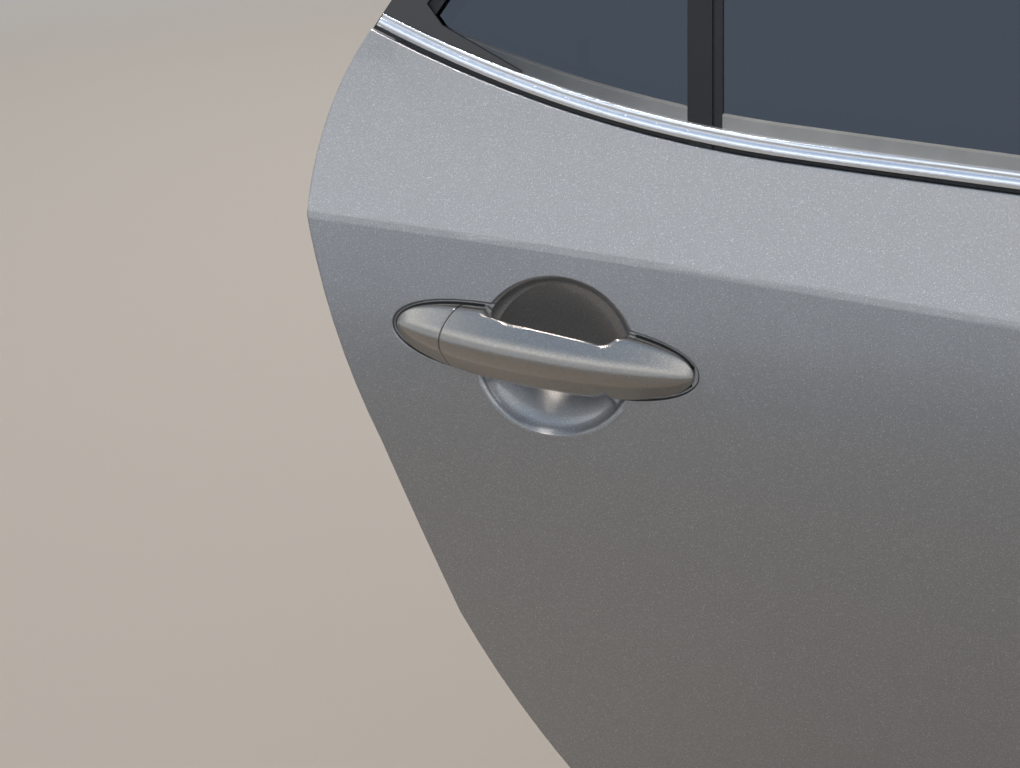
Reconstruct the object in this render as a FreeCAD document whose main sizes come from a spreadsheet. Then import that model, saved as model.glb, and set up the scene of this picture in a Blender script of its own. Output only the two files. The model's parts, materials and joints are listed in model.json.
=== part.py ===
# Rear side door of a small hatchback, right-hand side.
# Millimetres. X points to the front of the car, Y to its inside, Z up.
# The origin is the upper hinge's bolt pattern, where the pillar leaf meets the pillar.
import FreeCAD, Part
import math
import os
import re
from types import SimpleNamespace
from FreeCAD import Matrix, Placement, Rotation, Vector

doc = FreeCAD.newDocument("RearSideDoor")

# Driving dimensions: alias, value, what it is
SIZES = [
    ("front_edge", 12.0, "door's front edge behind the hinge bolts"),
    ("door_length", 863.5, "front edge to rearmost point"),
    ("sill_depth", 460.0, "bottom edge below the upper hinge bolts"),
    ("frame_rise", 618.0, "top of the window frame above the upper hinge bolts"),
    ("frame_lean", 24.0, "how far the front edge leans back at the top"),
    ("roof_drop_start", 235.0, "top rail's rear end ahead of the rearmost point"),
    ("wheel_behind", 98.5, "wheel's centre behind the rearmost point"),
    ("arch_radius", 382.0, "door's edge round the wheel"),
    ("roof_bend", 230.0, "curve between the header and the rear leg"),
    ("bulge_y", 78.0, "outermost point of the skin outboard of the hinge bolts"),
    ("bulge_drop", 130.0, "height of that point below the hinge bolts"),
    ("side_radius", 1670.0, "upright curve of the lower side"),
    ("curl_height", 130.0, "height of the inward curl above the bottom edge"),
    ("curl_radius", 350.0, "radius that the curl adds"),
    ("plan_radius", 6500.0, "curve of the side seen from above"),
    ("plan_crown", 318.0, "widest point behind the front edge"),
    ("crease_rear", 188.0, "height of the crease at the rear"),
    ("crease_slope", 0.022, "fall of the crease at the rear, per mm"),
    ("crease_bend", 7634.0, "radius of the crease seen from the side"),
    ("crease_round", 2.5, "half height of the rounded crease"),
    ("shoulder_foot_lean", 27.0, "lean of the shoulder just above the crease, degrees"),
    ("shoulder_top_lean", 18.0, "lean of the shoulder at the belt, degrees"),
    ("shoulder_height", 110.0, "height over which the lean changes"),
    ("belt_front", 216.8, "belt height at the front edge"),
    ("belt_slope", 0.06, "rise of the belt towards the rear, per mm"),
    ("belt_kick", 331.0, "start of the belt's upward curve ahead of the rearmost point"),
    ("belt_kick_radius", 910.0, "radius of that curve"),
    ("skin_thick", 1.6, "outer skin"),
    ("hem_width", 12.0, "folded hem round the skin"),
    ("panel_thick", 1.4, "inner panel sheet"),
    ("wall_inset", 18.0, "shut face behind the skin's edge"),
    ("front_wall", 33.0, "front shut face behind the front edge"),
    ("inner_sill_y", 24.0, "inner panel inboard of the bolts at the sill"),
    ("inner_belt_y", 72.0, "inner panel inboard of the bolts at the belt"),
    ("panel_belt_gap", 2.0, "inner panel's top below the belt"),
    ("glass_thick", 4.0, "window glass"),
    ("glass_inset", 9.0, "glass behind the skin at the belt"),
    ("glass_lean", 17.0, "lean of the glass at the belt, degrees"),
    ("glass_radius", 1500.0, "barrel radius of the glass"),
    ("glass_below_belt", 60.0, "glass hidden below the belt"),
    ("frame_out", 6.0, "frame outboard of the glass face"),
    ("frame_in", 28.0, "frame inboard of the glass face"),
    ("frame_web", 23.5, "rubber's outer edge inside the door's edge"),
    ("run_lip", 9.0, "visible width of the glass run rubber"),
    ("frame_tube", 44.0, "frame's inner edge inside the door's edge"),
    ("frame_foot", 55.0, "frame's legs below the belt"),
    ("glass_bite", 5.0, "glass edge inside its rubber"),
    ("bar_ahead", 282.0, "division bar's middle at the belt, ahead of the rearmost point"),
    ("bar_width", 24.0, "division bar"),
    ("bar_channel", 7.0, "glass run ahead of the division bar's face"),
    ("bar_web", 5.0, "division bar's web"),
    ("bar_lean", 5.3, "division bar leans to the rear, degrees"),
    ("fit_gap", 0.3, "clearance between neighbouring pieces"),
    ("chrome_gap", 3.7, "dark gap between skin and bright moulding"),
    ("chrome_height", 10.4, "bright belt moulding"),
    ("chrome_depth", 4.3, "bright belt moulding, thickness"),
    ("chrome_band", 0.62, "wide lower band of the bright moulding, share of its height"),
    ("belt_lip", 8.2, "rubber lip above the bright moulding"),
    ("tail_length", 150.0, "corner cover's tail ends ahead of the rearmost point"),
    ("cover_thick", 1.9, "gloss covers on the frame"),
    ("hinge_spacing", 340.0, "upper to lower hinge"),
    ("pin_behind_edge", 15.0, "hinge pin behind the front edge"),
    ("pin_y", 30.0, "hinge pin outboard of the bolts"),
    ("pin_radius", 5.0, "hinge pin"),
    ("pin_gap", 0.05, "running clearance of the pin"),
    ("knuckle_radius", 9.0, "hinge knuckle"),
    ("knuckle_half", 12.0, "half height of the pillar leaf's knuckle"),
    ("ear_gap", 0.5, "between knuckle and ears"),
    ("ear_height", 8.0, "door leaf's ear"),
    ("leaf_thick", 6.0, "hinge leaf plate"),
    ("leaf_width", 36.0, "pillar leaf plate"),
    ("leaf_height", 64.0, "pillar leaf plate"),
    ("arm_width", 9.0, "pillar leaf's arm to its knuckle"),
    ("leaf_bolt_spacing", 40.0, "bolt to bolt, upright"),
    ("bolt_hole_radius", 4.5, "hole for an M8 bolt"),
    ("door_leaf_width", 40.0, "door leaf plate"),
    ("door_leaf_height", 54.0, "door leaf plate"),
    ("check_z", 170.0, "check arm below the upper hinge bolts"),
    ("check_x", 8.0, "check arm pivot behind the hinge bolts"),
    ("check_y", 12.0, "check arm pivot outboard of the hinge bolts"),
    ("check_pin_radius", 4.0, "check arm pivot pin"),
    ("arm_length", 86.0, "check arm beyond its pivot"),
    ("arm_thick", 5.0, "check arm"),
    ("arm_height", 18.0, "check arm"),
    ("arm_slot_low", 11.5, "check arm's slot, outboard of the pivot"),
    ("arm_slot_wide", 24.0, "check arm's slot, which lets it swing"),
    ("grip_length", 219.0, "outside handle, tip to tip"),
    ("grip_half", 24.0, "outside handle, half its height"),
    ("grip_out", 36.0, "outside handle, proud of the skin"),
    ("grip_ahead", 179.0, "handle's middle ahead of the rearmost point"),
    ("grip_z", 110.5, "handle's middle above the hinge bolts"),
    ("grip_tilt", 4.6, "handle rises towards the rear, degrees"),
    ("cap_length", 39.0, "fixed rear cap of the handle"),
    ("cap_seam", 0.6, "gap between cap and grip"),
    ("seam_radius", 35.0, "curve of that gap"),
    ("ridge_place", -0.04, "handle's ridge above its middle, as a share of its half height"),
    ("scoop_depth", 2.5, "hollow in the strap's upper edge"),
    ("strap_thick", 15.0, "grip's strap over the recess"),
    ("foot_rear", 71.0, "grip's rear foot ends, from the rear tip"),
    ("foot_front", 169.0, "grip's front foot starts, from the rear tip"),
    ("pad_depth", 3.0, "seat pressed into the skin for the handle's ends"),
    ("pad_margin", 2.2, "seat's floor round the handle"),
    ("bowl_radius", 56.3, "finger recess inside its rim"),
    ("bowl_rim", 6.0, "width of the rolled rim"),
    ("bowl_depth", 27.0, "finger recess"),
    ("bowl_forward", 9.5, "recess's middle ahead of the handle's middle"),
    ("bowl_drop", 3.5, "recess's middle below the handle's middle"),
    ("gasket_thick", 1.5, "rubber under the handle's ends"),
    ("pivot_back", 7.0, "grip's hinge line behind its front tip"),
    ("pivot_in", 11.0, "grip's hinge line behind the skin"),
    ("grip_travel", 9.0, "how far the grip pulls out, degrees"),
    ("pivot_radius", 2.5, "grip's hinge pin"),
    ("lug_width", 12.0, "grip's lug on its pin"),
    ("shank_length", 9.0, "grip's rear shank, along the handle"),
    ("shank_width", 12.0, "grip's rear shank, across the handle"),
    ("shank_reach", 44.0, "grip's rear shank into the door"),
    ("trim_thick", 22.0, "interior panel"),
    ("trim_wall", 3.0, "interior mouldings"),
    ("trim_margin", 26.0, "interior panel inside the shut face"),
    ("arm_rest_out", 58.0, "arm rest proud of the interior panel"),
    ("insert_front", 252.0, "cloth insert behind the front edge"),
    ("insert_rear", 159.5, "its lower rear corner ahead of the rearmost point"),
    ("insert_gap", 16.8, "its lower edge above the arm rest"),
    ("insert_height", 142.0, "cloth insert"),
    ("insert_thick", 3.4, "cloth insert"),
    ("arm_rest_z", 30.0, "arm rest's top above the hinge bolts"),
    ("arm_rest_height", 74.0, "arm rest"),
    ("arm_rest_length", 470.0, "arm rest"),
    ("cup_length", 110.0, "pull cup in the arm rest"),
    ("cup_width", 34.0, "pull cup in the arm rest"),
    ("cup_depth", 46.0, "pull cup in the arm rest"),
    ("lever_z", 112.0, "inside lever's middle above the hinge bolts"),
    ("lever_length", 84.0, "inside lever"),
    ("pocket_x", 310.0, "map pocket's front behind the hinge bolts"),
    ("pocket_length", 240.0, "map pocket"),
    ("pocket_height", 120.0, "map pocket"),
    ("pocket_out", 44.0, "map pocket proud of the panel"),
    ("speaker_radius", 64.0, "loudspeaker grille"),
    ("speaker_z", -300.0, "loudspeaker's middle from the hinge bolts"),
    ("knob_ahead", 180.0, "lock button ahead of the rearmost point"),
    ("seal_inset", 13.0, "rubber seal behind the shut face"),
    ("seal_thick", 9.0, "rubber seal"),
    ("seal_out", 11.0, "rubber seal proud of the inner panel"),
    ("latch_z", 60.0, "latch's middle above the hinge bolts"),
    ("latch_length", 86.0, "latch along the shut face"),
    ("latch_depth", 24.0, "latch case"),
    ("latch_back", 1.7, "latch case behind the shut face's sheet, to clear its curve"),
    ("striker_slot", 16.0, "width of the striker's slot"),
]

sheet = doc.addObject("Spreadsheet::Sheet", "Sizes")
for row, (alias, value, what) in enumerate(SIZES, 1):
    sheet.set(f"A{row}", what)
    sheet.set(f"B{row}", str(value))
    sheet.setAlias(f"B{row}", alias)
doc.recompute()
S = SimpleNamespace(**{alias: float(sheet.get(alias)) for alias, _, _ in SIZES})

# Places worked out from the driving dimensions
x_front = -S.front_edge
x_tail = x_front - S.door_length
z_sill = -S.sill_depth
x_pin = x_front - S.pin_behind_edge
y_pin = -S.pin_y
x_wall = x_front - S.front_wall
x_bar = x_tail + S.bar_ahead
x_kick = x_tail + S.belt_kick
OUTSIDE = -200.0
INSIDE = 330.0


def belt_z(x):
    """Height of the skin's upper edge."""
    rise = S.belt_slope * (x_front - x)
    past = max(0.0, x_kick - x)
    return S.belt_front + rise + past ** 2 / (2 * S.belt_kick_radius)


def crease_z(x):
    """Height of the crease along the door."""
    s = x - x_tail
    return S.crease_rear - S.crease_slope * s - s ** 2 / (2 * S.crease_bend)


def plan_in(x):
    """How far the side curves inboard, seen from above."""
    return (x - x_front + S.plan_crown) ** 2 / (2 * S.plan_radius)


def side_y(x, z):
    """Skin's outer face below the crease."""
    up = z + S.bulge_drop
    y = S.side_radius - math.sqrt(S.side_radius ** 2 - up ** 2) - S.bulge_y + plan_in(x)
    low = max(0.0, z_sill + S.curl_height - z)
    return y + low ** 2 / (2 * S.curl_radius)


def shoulder_y(x, z):
    """Skin's outer face above the crease."""
    foot = math.tan(math.radians(S.shoulder_foot_lean))
    top = math.tan(math.radians(S.shoulder_top_lean))
    h = z - crease_z(x)
    return side_y(x, crease_z(x)) + foot * h - (foot - top) / (2 * S.shoulder_height) * h ** 2


def skin_y(x, z):
    """Skin's outer face, with the crease rounded."""
    h = z - crease_z(x)
    if h < -S.crease_round:
        return side_y(x, z)
    if h > S.crease_round:
        return shoulder_y(x, z)
    low = side_y(x, crease_z(x) - S.crease_round)
    high = shoulder_y(x, crease_z(x) + S.crease_round)
    corner = side_y(x, crease_z(x))
    t = (h + S.crease_round) / (2 * S.crease_round)
    return low * (1 - t) ** 2 + 2 * corner * t * (1 - t) + high * t ** 2


def barrel(z):
    """Lean of the glass with height."""
    h = z - S.belt_front
    return math.tan(math.radians(S.glass_lean)) * h + h ** 2 / (2 * S.glass_radius)


def glass_y(x, z):
    """Glass's outer face."""
    zb = belt_z(x)
    return skin_y(x, zb) + S.glass_inset + barrel(z) - barrel(zb)


def inner_y(x, z):
    """Inner panel's inboard face."""
    share = (z - z_sill) / (S.belt_front - z_sill)
    return S.inner_sill_y + share * (S.inner_belt_y - S.inner_sill_y)


def stations(count, ahead=10.0, behind=14.0):
    """Places along the door where a loft has a section."""
    a, b = x_front + ahead, x_tail - behind
    return [a + (b - a) * i / (count - 1) for i in range(count)]


def chain(x, spans, y_of, shift):
    """Arcs up a section: each span is (low, high) and gets one arc through its middle."""
    edges = []
    for low, high in spans:
        pts = [Vector(x, y_of(x, z) + shift, z) for z in (low, (low + high) / 2, high)]
        bend = (pts[1] - pts[0]).cross(pts[2] - pts[1]).Length
        if bend < 1e-4 * (pts[2] - pts[0]).Length:
            edges.append(Part.LineSegment(pts[0], pts[2]).toShape())
        else:
            edges.append(Part.Arc(*pts).toShape())
    return edges


def loft_between(places, spans_of, near, far):
    """Solid between two faces of the door; near and far are (y function, shift)."""
    wires = []
    for x in places:
        spans = spans_of(x)
        a = chain(x, spans, *near)
        b = chain(x, spans, *far)
        ends = [(a[0].firstVertex(True).Point, b[0].firstVertex(True).Point),
                (a[-1].lastVertex(True).Point, b[-1].lastVertex(True).Point)]
        sides = [Part.LineSegment(p, q).toShape() for p, q in ends]
        wires.append(Part.Wire(a + [sides[1]] + b[::-1] + [sides[0]]))
    return Part.makeLoft(wires, True, False)


def skin_spans(x):
    """Skin's section: curl, side, crease, shoulder."""
    zc = crease_z(x)
    cuts = [z_sill - 14.0, z_sill + S.curl_height, zc - S.crease_round,
            zc + S.crease_round, belt_z(x) + 16.0]
    return list(zip(cuts, cuts[1:]))


def upper_spans(x):
    """Glass and frame section, from below the belt to above the roof rail."""
    return [(S.belt_front - S.glass_below_belt - 40.0, S.frame_rise + 20.0)]


def skin_slab(near, far, count=5):
    return loft_between(stations(count), skin_spans, (skin_y, near), (skin_y, far))


def glass_slab(near, far, count=4):
    return loft_between(stations(count), upper_spans, (glass_y, near), (glass_y, far))


# Outlines in the side view, as (x, z)
def flat(x, z):
    return Vector(x, 0.0, z)


def line(a, b):
    return Part.LineSegment(flat(*a), flat(*b)).toShape()


def arc(a, b, c):
    return Part.Arc(flat(*a), flat(*b), flat(*c)).toShape()


def rounded(points):
    """Closed outline from (x, z, radius) corners, with tangent arcs."""
    edges, last, first = [], None, None
    n = len(points)
    for i in range(n):
        p = Vector(points[i][0], 0, points[i][1])
        a = Vector(points[i - 1][0], 0, points[i - 1][1]) - p
        b = Vector(points[(i + 1) % n][0], 0, points[(i + 1) % n][1]) - p
        a.normalize()
        b.normalize()
        half = math.acos(max(-1.0, min(1.0, a.dot(b)))) / 2
        r = points[i][2]
        if r < 0.05 or half > math.pi / 2 - 1e-3:
            start = stop = p
            bend = None
        else:
            reach = r / math.tan(half)
            start, stop = p + a * reach, p + b * reach
            mid = a + b
            mid.normalize()
            bend = p + mid * (r / math.sin(half) - r)
        if last is not None and (start - last).Length > 1e-6:
            edges.append(Part.LineSegment(last, start).toShape())
        if first is None:
            first = start
        if bend is not None:
            edges.append(Part.Arc(start, bend, stop).toShape())
        last = stop
    if (first - last).Length > 1e-6:
        edges.append(Part.LineSegment(last, first).toShape())
    return Part.Wire(edges)


def prism(wire, low=OUTSIDE, high=INSIDE):
    """Outline extruded across the door."""
    face = Part.Face(wire)
    face.translate(Vector(0, low, 0))
    return face.extrude(Vector(0, high - low, 0))


def inset(wire, distance):
    """Outline moved inwards by distance, or outwards if it is negative."""
    moved = wire.makeOffset2D(-distance, 2)
    return moved if isinstance(moved, Part.Wire) else moved.Wires[0]


# Door outline, clockwise seen from outside, starting at the sill's front
corner = (x_tail + 38.0, belt_z(x_tail + 38.0))
crease_end = (x_tail, S.crease_rear)
flank = (x_tail + 120.5, z_sill + 356.0)
flank_mid = (x_tail + 165.0, z_sill + 285.5)


def arch_point(degrees):
    """Point of the door's edge round the wheel, seen from the wheel's centre."""
    a = math.radians(degrees)
    return (x_tail - S.wheel_behind + S.arch_radius * math.cos(a), z_sill + S.arch_radius * math.sin(a))


arch_top = arch_point(37.0)
arch_foot = arch_point(9.0)
neck = (x_tail + 59.5, S.crease_rear - 161.0)
top_front = (x_front - S.frame_lean, S.frame_rise - 1.0)
top_rear = (x_tail + S.roof_drop_start, S.frame_rise + 3.0)


def tangent_corner(before, at, after, radius):
    """Start, middle and end of an arc that rounds a corner."""
    p = flat(*at)
    a, b = flat(*before) - p, flat(*after) - p
    a.normalize()
    b.normalize()
    half = math.acos(a.dot(b)) / 2
    mid = a + b
    mid.normalize()
    reach = radius / math.tan(half)
    pts = [p + a * reach, p + mid * (radius / math.sin(half) - radius), p + b * reach]
    return [(v.x, v.z) for v in pts]


def door_outline():
    """The whole door seen from the side."""
    front_low = (x_front, z_sill)
    belt_end = (x_front, S.belt_front)
    c1 = tangent_corner((arch_foot[0], z_sill), front_low, belt_end, 45.0)
    c2 = tangent_corner(belt_end, top_front, top_rear, 28.0)
    c3 = tangent_corner(top_front, top_rear, corner, S.roof_bend)
    c5 = tangent_corner(arch_foot, (arch_foot[0], z_sill), front_low, 30.0)
    edges = [
        arc(*c1), line(c1[2], belt_end), line(belt_end, c2[0]),
        arc(*c2), line(c2[2], c3[0]), arc(*c3), line(c3[2], corner),
        arc(corner, (x_tail + 7.8, S.crease_rear + 61.0), crease_end),
        arc(crease_end, (x_tail + 25.0, S.crease_rear - 85.0), neck),
        line(neck, flank), arc(flank, flank_mid, arch_top),
        arc(arch_top, arch_point(23.0), arch_foot),
        line(arch_foot, c5[0]), arc(*c5), line(c5[2], c1[0]),
    ]
    return Part.Wire(edges)


def belt_curve(rise):
    """Belt line raised by rise, as edges from ahead of the door to behind it."""
    a, b, c = x_front + 40.0, x_kick, x_tail - 40.0
    mid = (b + c) / 2
    return [line((a, belt_z(a) + rise), (b, belt_z(b) + rise)),
            arc((b, belt_z(b) + rise), (mid, belt_z(mid) + rise), (c, belt_z(c) + rise))]


def below_belt(rise):
    """Everything below the belt line raised by rise."""
    a, c, z = x_front + 40.0, x_tail - 40.0, z_sill - 60.0
    curve = belt_curve(rise)
    return prism(Part.Wire(curve + [line((c, belt_z(c) + rise), (c, z)), line((c, z), (a, z)),
                                    line((a, z), (a, belt_z(a) + rise))]))


def above_belt(rise):
    """Everything above the belt line raised by rise."""
    a, c, z = x_front + 40.0, x_tail - 40.0, S.frame_rise + 60.0
    curve = belt_curve(rise)
    return prism(Part.Wire(curve + [line((c, belt_z(c) + rise), (c, z)), line((c, z), (a, z)),
                                    line((a, z), (a, belt_z(a) + rise))]))


OUTLINE = door_outline()


def keep(label, shape, placement=None):
    """One sub-part whose shape is made with Part's functions."""
    obj = doc.addObject("Part::Feature", label)
    obj.Label = label
    obj.Shape = shape
    if placement is not None:
        obj.Placement = placement
    NODES.append(obj)
    return obj


NODES = []

# Local frame of the outside handle: u forward, v up, w out of the skin
x_grip = x_tail + S.grip_ahead
slope_x = (skin_y(x_grip + 1, S.grip_z) - skin_y(x_grip - 1, S.grip_z)) / 2
slope_z = (skin_y(x_grip, S.grip_z + 1) - skin_y(x_grip, S.grip_z - 1)) / 2
w_axis = Vector(slope_x, -1.0, slope_z)
w_axis.normalize()
tilt = math.radians(S.grip_tilt)
u_axis = Vector(math.cos(tilt), 0, -math.sin(tilt))
u_axis = u_axis - w_axis * u_axis.dot(w_axis)
u_axis.normalize()
v_axis = w_axis.cross(u_axis)
handle_at = Placement(
    Vector(x_grip, skin_y(x_grip, S.grip_z), S.grip_z),
    Rotation(u_axis, v_axis, w_axis, "ZXY"))


def on_skin(shape):
    """A shape from the handle's frame, moved into the door's."""
    placed = shape.copy()
    placed.Placement = handle_at.multiply(placed.Placement)
    return placed


def grip_half_at(s):
    """Half height of the handle, s from 0 at the rear tip to 1 at the front."""
    return S.grip_half * math.sqrt(1 - abs(2 * s - 1) ** 3.3)


def grip_out_at(s):
    """How far the handle stands out of the skin."""
    return S.grip_out * (1 - abs(2 * s - 1) ** 2.2) ** 0.75


def spindle_outline(margin, level, count=28):
    """Outline of the handle's seat, margin wider than the handle, at w = level."""
    ring = []
    for i in range(count):
        t = 2 * math.pi * i / count
        c, s = math.cos(t), math.sin(t)
        u = math.copysign(abs(c) ** (2 / 3.3), c) * (S.grip_length / 2 + margin)
        v = s * (S.grip_half + margin)
        ring.append(Vector(u, v, level))
    curve = Part.BSplineCurve()
    curve.interpolate(Points=ring, PeriodicFlag=True)
    return Part.Wire(curve.toShape())


def spindle_prism(margin, low, high):
    face = Part.Face(spindle_outline(margin, low))
    return face.extrude(Vector(0, 0, high - low))


def bowl_tool(grow, top):
    """Recess as a solid of revolution, grown by the sheet's thickness."""
    r, rim, depth, low = S.bowl_radius, S.bowl_rim, S.bowl_depth, -S.pad_depth
    wall_foot = Vector(0.88 * r + grow, 0, -0.62 * depth - 0.5 * grow)
    deep = Vector(0, 0, -depth - grow)
    floor_mid = Vector(0.5 * r, 0, -0.915 * depth - grow)
    edge = Vector(r + 0.9 * grow, 0, low - 0.3 * grow)
    wall_mid = Vector((wall_foot.x + edge.x) / 2 + 1.6, 0, (wall_foot.z + edge.z) / 2 - 1.2)
    lip = Vector(r + rim, 0, 0.6 - 0.2 * grow)
    roll = Vector(r + 0.36 * rim + 0.6 * grow, 0, 0.30 * low - 0.5 * grow)
    corners = [lip, Vector(r + rim + 2.0, 0, 0.9), Vector(r + rim + 2.0, 0, top), Vector(0, 0, top), deep]
    edges = [Part.Arc(deep, floor_mid, wall_foot).toShape(), Part.Arc(wall_foot, wall_mid, edge).toShape(),
             Part.Arc(edge, roll, lip).toShape()]
    edges += [Part.LineSegment(p, q).toShape() for p, q in zip(corners, corners[1:])]
    solid = Part.Face(Part.Wire(edges)).revolve(Vector(0, 0, 0), Vector(0, 0, 1), 360)
    solid.translate(Vector(S.bowl_forward, -S.bowl_drop, 0))
    return solid


def pad_tool(grow, top):
    """Seat for the handle's ends, with a rolled edge."""
    low = -S.pad_depth - grow
    steps = ((S.pad_margin, low), (S.pad_margin + 1.0, low + 1.8), (S.pad_margin + 3.4, top))
    return Part.makeLoft([spindle_outline(out + grow, level) for out, level in steps], True, False)


# Outer skin: pressed sheet with its hem, belt return, handle seat and finger recess
def outer_skin():
    sheet_metal = skin_slab(0.0, S.skin_thick)
    hem = skin_slab(S.skin_thick - 0.2, 2 * S.skin_thick)
    outline = prism(OUTLINE)
    ring = outline.cut(prism(inset(OUTLINE, S.hem_width)))
    skin = sheet_metal.common(outline).common(below_belt(0.0))
    skin = skin.fuse(hem.common(ring).common(below_belt(-4.0)))
    flange = skin_slab(S.skin_thick - 0.2, S.glass_inset - S.frame_out + 0.4)
    strip = below_belt(0.0).cut(below_belt(-S.skin_thick))
    skin = skin.fuse(flange.common(strip).common(prism(inset(OUTLINE, 2.0))))
    behind = skin_slab(0.0, 60.0)
    press = on_skin(bowl_tool(S.skin_thick, 1.0)).fuse(on_skin(pad_tool(S.skin_thick, 1.0)))
    skin = skin.fuse(press.common(behind))
    skin = skin.cut(on_skin(bowl_tool(0.0, 8.0)).fuse(on_skin(pad_tool(0.0, 6.0))))
    return skin


def zone(d, low=OUTSIDE, high=INSIDE):
    """Everything inside the door's edge by d; the shut face in front lies further in."""
    extra = S.front_wall - S.wall_inset
    room = Part.makeBox(2000, high - low, 2000, Vector(x_front - extra - d - 2000, low, -1000))
    return prism(inset(OUTLINE, d), low, high).common(room)


def glass_part(near, far, region):
    """Slice of the leaning glass plane, cut to a region of the side view."""
    return glass_slab(near, far).common(region)


# Inner panel: flange behind the hem, shut faces and the pan between them
def inner_panel():
    spans = lambda x: [(z_sill - 14.0, S.crease_rear - 90.0), (S.crease_rear - 90.0, belt_z(x) + 16.0)]
    whole = loft_between(stations(4), spans, (skin_y, 0.0), (inner_y, 0.0))
    whole = whole.cut(skin_slab(-30.0, 2 * S.skin_thick))
    hollow = loft_between(stations(4), spans, (skin_y, 0.0), (inner_y, -S.panel_thick))
    below = below_belt(-S.panel_belt_gap)
    wall = whole.common(zone(S.wall_inset)).common(below)
    wall = wall.cut(hollow.common(zone(S.wall_inset + S.panel_thick)))
    lip = skin_slab(2 * S.skin_thick, 2 * S.skin_thick + S.panel_thick)
    lip = lip.common(prism(inset(OUTLINE, 1.0))).cut(zone(S.wall_inset + S.panel_thick / 2))
    return wall.fuse(lip.common(below_belt(-3.5)))


def window_frame():
    """Flange, web and rail round the window, with legs into the door."""
    over = above_belt(0.5)
    flange = glass_part(-S.frame_out, -1.0, prism(inset(OUTLINE, 0.5)).common(over))
    flange = flange.cut(zone(S.frame_web))
    rail = glass_part(S.glass_thick + 1.5, S.frame_in, above_belt(-S.panel_belt_gap))
    rail = rail.common(zone(S.wall_inset))
    web = glass_part(-2.0, S.frame_in, above_belt(-S.panel_belt_gap)).common(zone(S.wall_inset))
    web = web.cut(zone(S.frame_web))
    legs = glass_part(-2.0, S.frame_in - 2.0, above_belt(-S.frame_foot))
    legs = legs.common(below_belt(-S.panel_belt_gap)).common(zone(S.wall_inset + S.panel_thick))
    slot = glass_slab(-4.0, S.glass_thick + 1.5).common(zone(S.frame_web))
    ring = rail.fuse(web).fuse(legs.cut(slot)).fuse(flange)
    return ring.cut(zone(S.frame_tube))


def bar_region(width, side=0):
    """Leaning strip of the division bar; side -1 or 1 gives all behind or ahead of it."""
    foot, lean = belt_z(x_bar), math.tan(math.radians(S.bar_lean))
    low, high = foot - 100.0, S.frame_rise + 40.0
    rear = -1500.0 if side < 0 else None
    ahead = 500.0 if side > 0 else None
    pts = []
    for z, order in ((low, (-1, 1)), (high, (1, -1))):
        mid = x_bar - (z - foot) * lean
        for way in order:
            edge = mid + way * width / 2
            if side < 0:
                edge = mid - width / 2 if way > 0 else rear
            if side > 0:
                edge = mid + width / 2 if way < 0 else ahead
            pts.append((edge, z, 0))
    return prism(rounded(pts))


def glass_pane(side):
    """One pane, from its rubber to the division bar's web."""
    edge = zone(S.frame_web + S.run_lip - S.glass_bite).common(above_belt(4.0 - S.frame_foot))
    pane = glass_part(0.0, S.glass_thick, edge)
    return pane.common(bar_region(S.bar_web + 2 * S.fit_gap, side))


def run_channel():
    """Rubber that grips the glass along the posts and the header."""
    rubber = glass_part(1.0 - S.frame_out, S.glass_thick + 1.4, zone(S.frame_web))
    rubber = rubber.common(above_belt(1.0 - S.frame_foot)).cut(zone(S.frame_web + S.run_lip))
    groove = zone(S.frame_web + S.run_lip - S.glass_bite)
    return rubber.cut(glass_part(0.0, S.glass_thick, groove))


def division_bar():
    """H section between the panes: outer face, web and inner flange."""
    face = glass_part(0.5 - S.frame_out, -S.fit_gap, bar_region(S.bar_width))
    step = glass_part(-S.frame_out, 2.0 - S.frame_out, bar_region(S.bar_width - 2 * S.bar_channel, 1))
    groove = glass_part(-S.frame_out, 3.4 - S.frame_out, bar_region(S.bar_width - 2 * S.bar_channel, 1))
    groove = groove.cut(bar_region(S.bar_width - 2 * S.bar_channel + 2.4, 1))
    face = face.cut(step).cut(groove).common(zone(S.frame_web + S.run_lip))
    back = glass_part(S.glass_thick + S.fit_gap, 14.0, bar_region(S.bar_width - 4.0))
    web = glass_part(-S.fit_gap, S.glass_thick + S.fit_gap, bar_region(S.bar_web))
    return face.fuse(back.fuse(web).common(zone(S.frame_tube))).common(above_belt(5.0 - S.frame_foot))


def belt_strip(near, far, low, high, region):
    """Piece that follows the belt line."""
    return glass_part(near, far, region).common(above_belt(low)).common(below_belt(high))


def band_y(x, z):
    """Outer face of the bright moulding: two crowned bands with a groove between them."""
    share = (z - belt_z(x) - S.chrome_gap) / S.chrome_height
    split = S.chrome_band
    low, high = (0.0, split) if share < split else (split, 1.0)
    across = (share - (low + high) / 2) / ((high - low) / 2)
    return glass_y(x, z) - S.frame_out - 0.15 - S.chrome_depth * (1.0 - 0.4 * across ** 2)


def bright_strip():
    """Bright moulding along the belt, to the door's edges."""
    def spans(x):
        low = belt_z(x) + S.chrome_gap
        split = low + S.chrome_band * S.chrome_height
        return [(low - 0.6, split), (split, low + S.chrome_height + 0.6)]
    crown = loft_between(stations(9), spans, (band_y, 0.0), (glass_y, 2.0 - S.frame_out))
    room = belt_strip(-S.frame_out - 1.5 - S.chrome_depth, -S.frame_out - 0.15, S.chrome_gap,
                      S.chrome_gap + S.chrome_height, prism(inset(OUTLINE, 1.5)))
    return crown.common(room)


def gloss_cover(low_x, high_x, top, tail=None):
    """Gloss cover on the frame's flange, above the bright moulding."""
    low = S.chrome_gap + S.chrome_height + S.fit_gap
    ring = prism(inset(OUTLINE, 1.0)).cut(zone(S.frame_web - S.fit_gap))
    area = ring.fuse(tail) if tail else ring
    part = glass_part(-S.frame_out - S.cover_thick - 0.1, -S.frame_out - 0.1, area)
    room = Part.makeBox(high_x - low_x, 600, top, Vector(low_x, -200, 0))
    return part.common(above_belt(low)).common(room)


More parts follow.
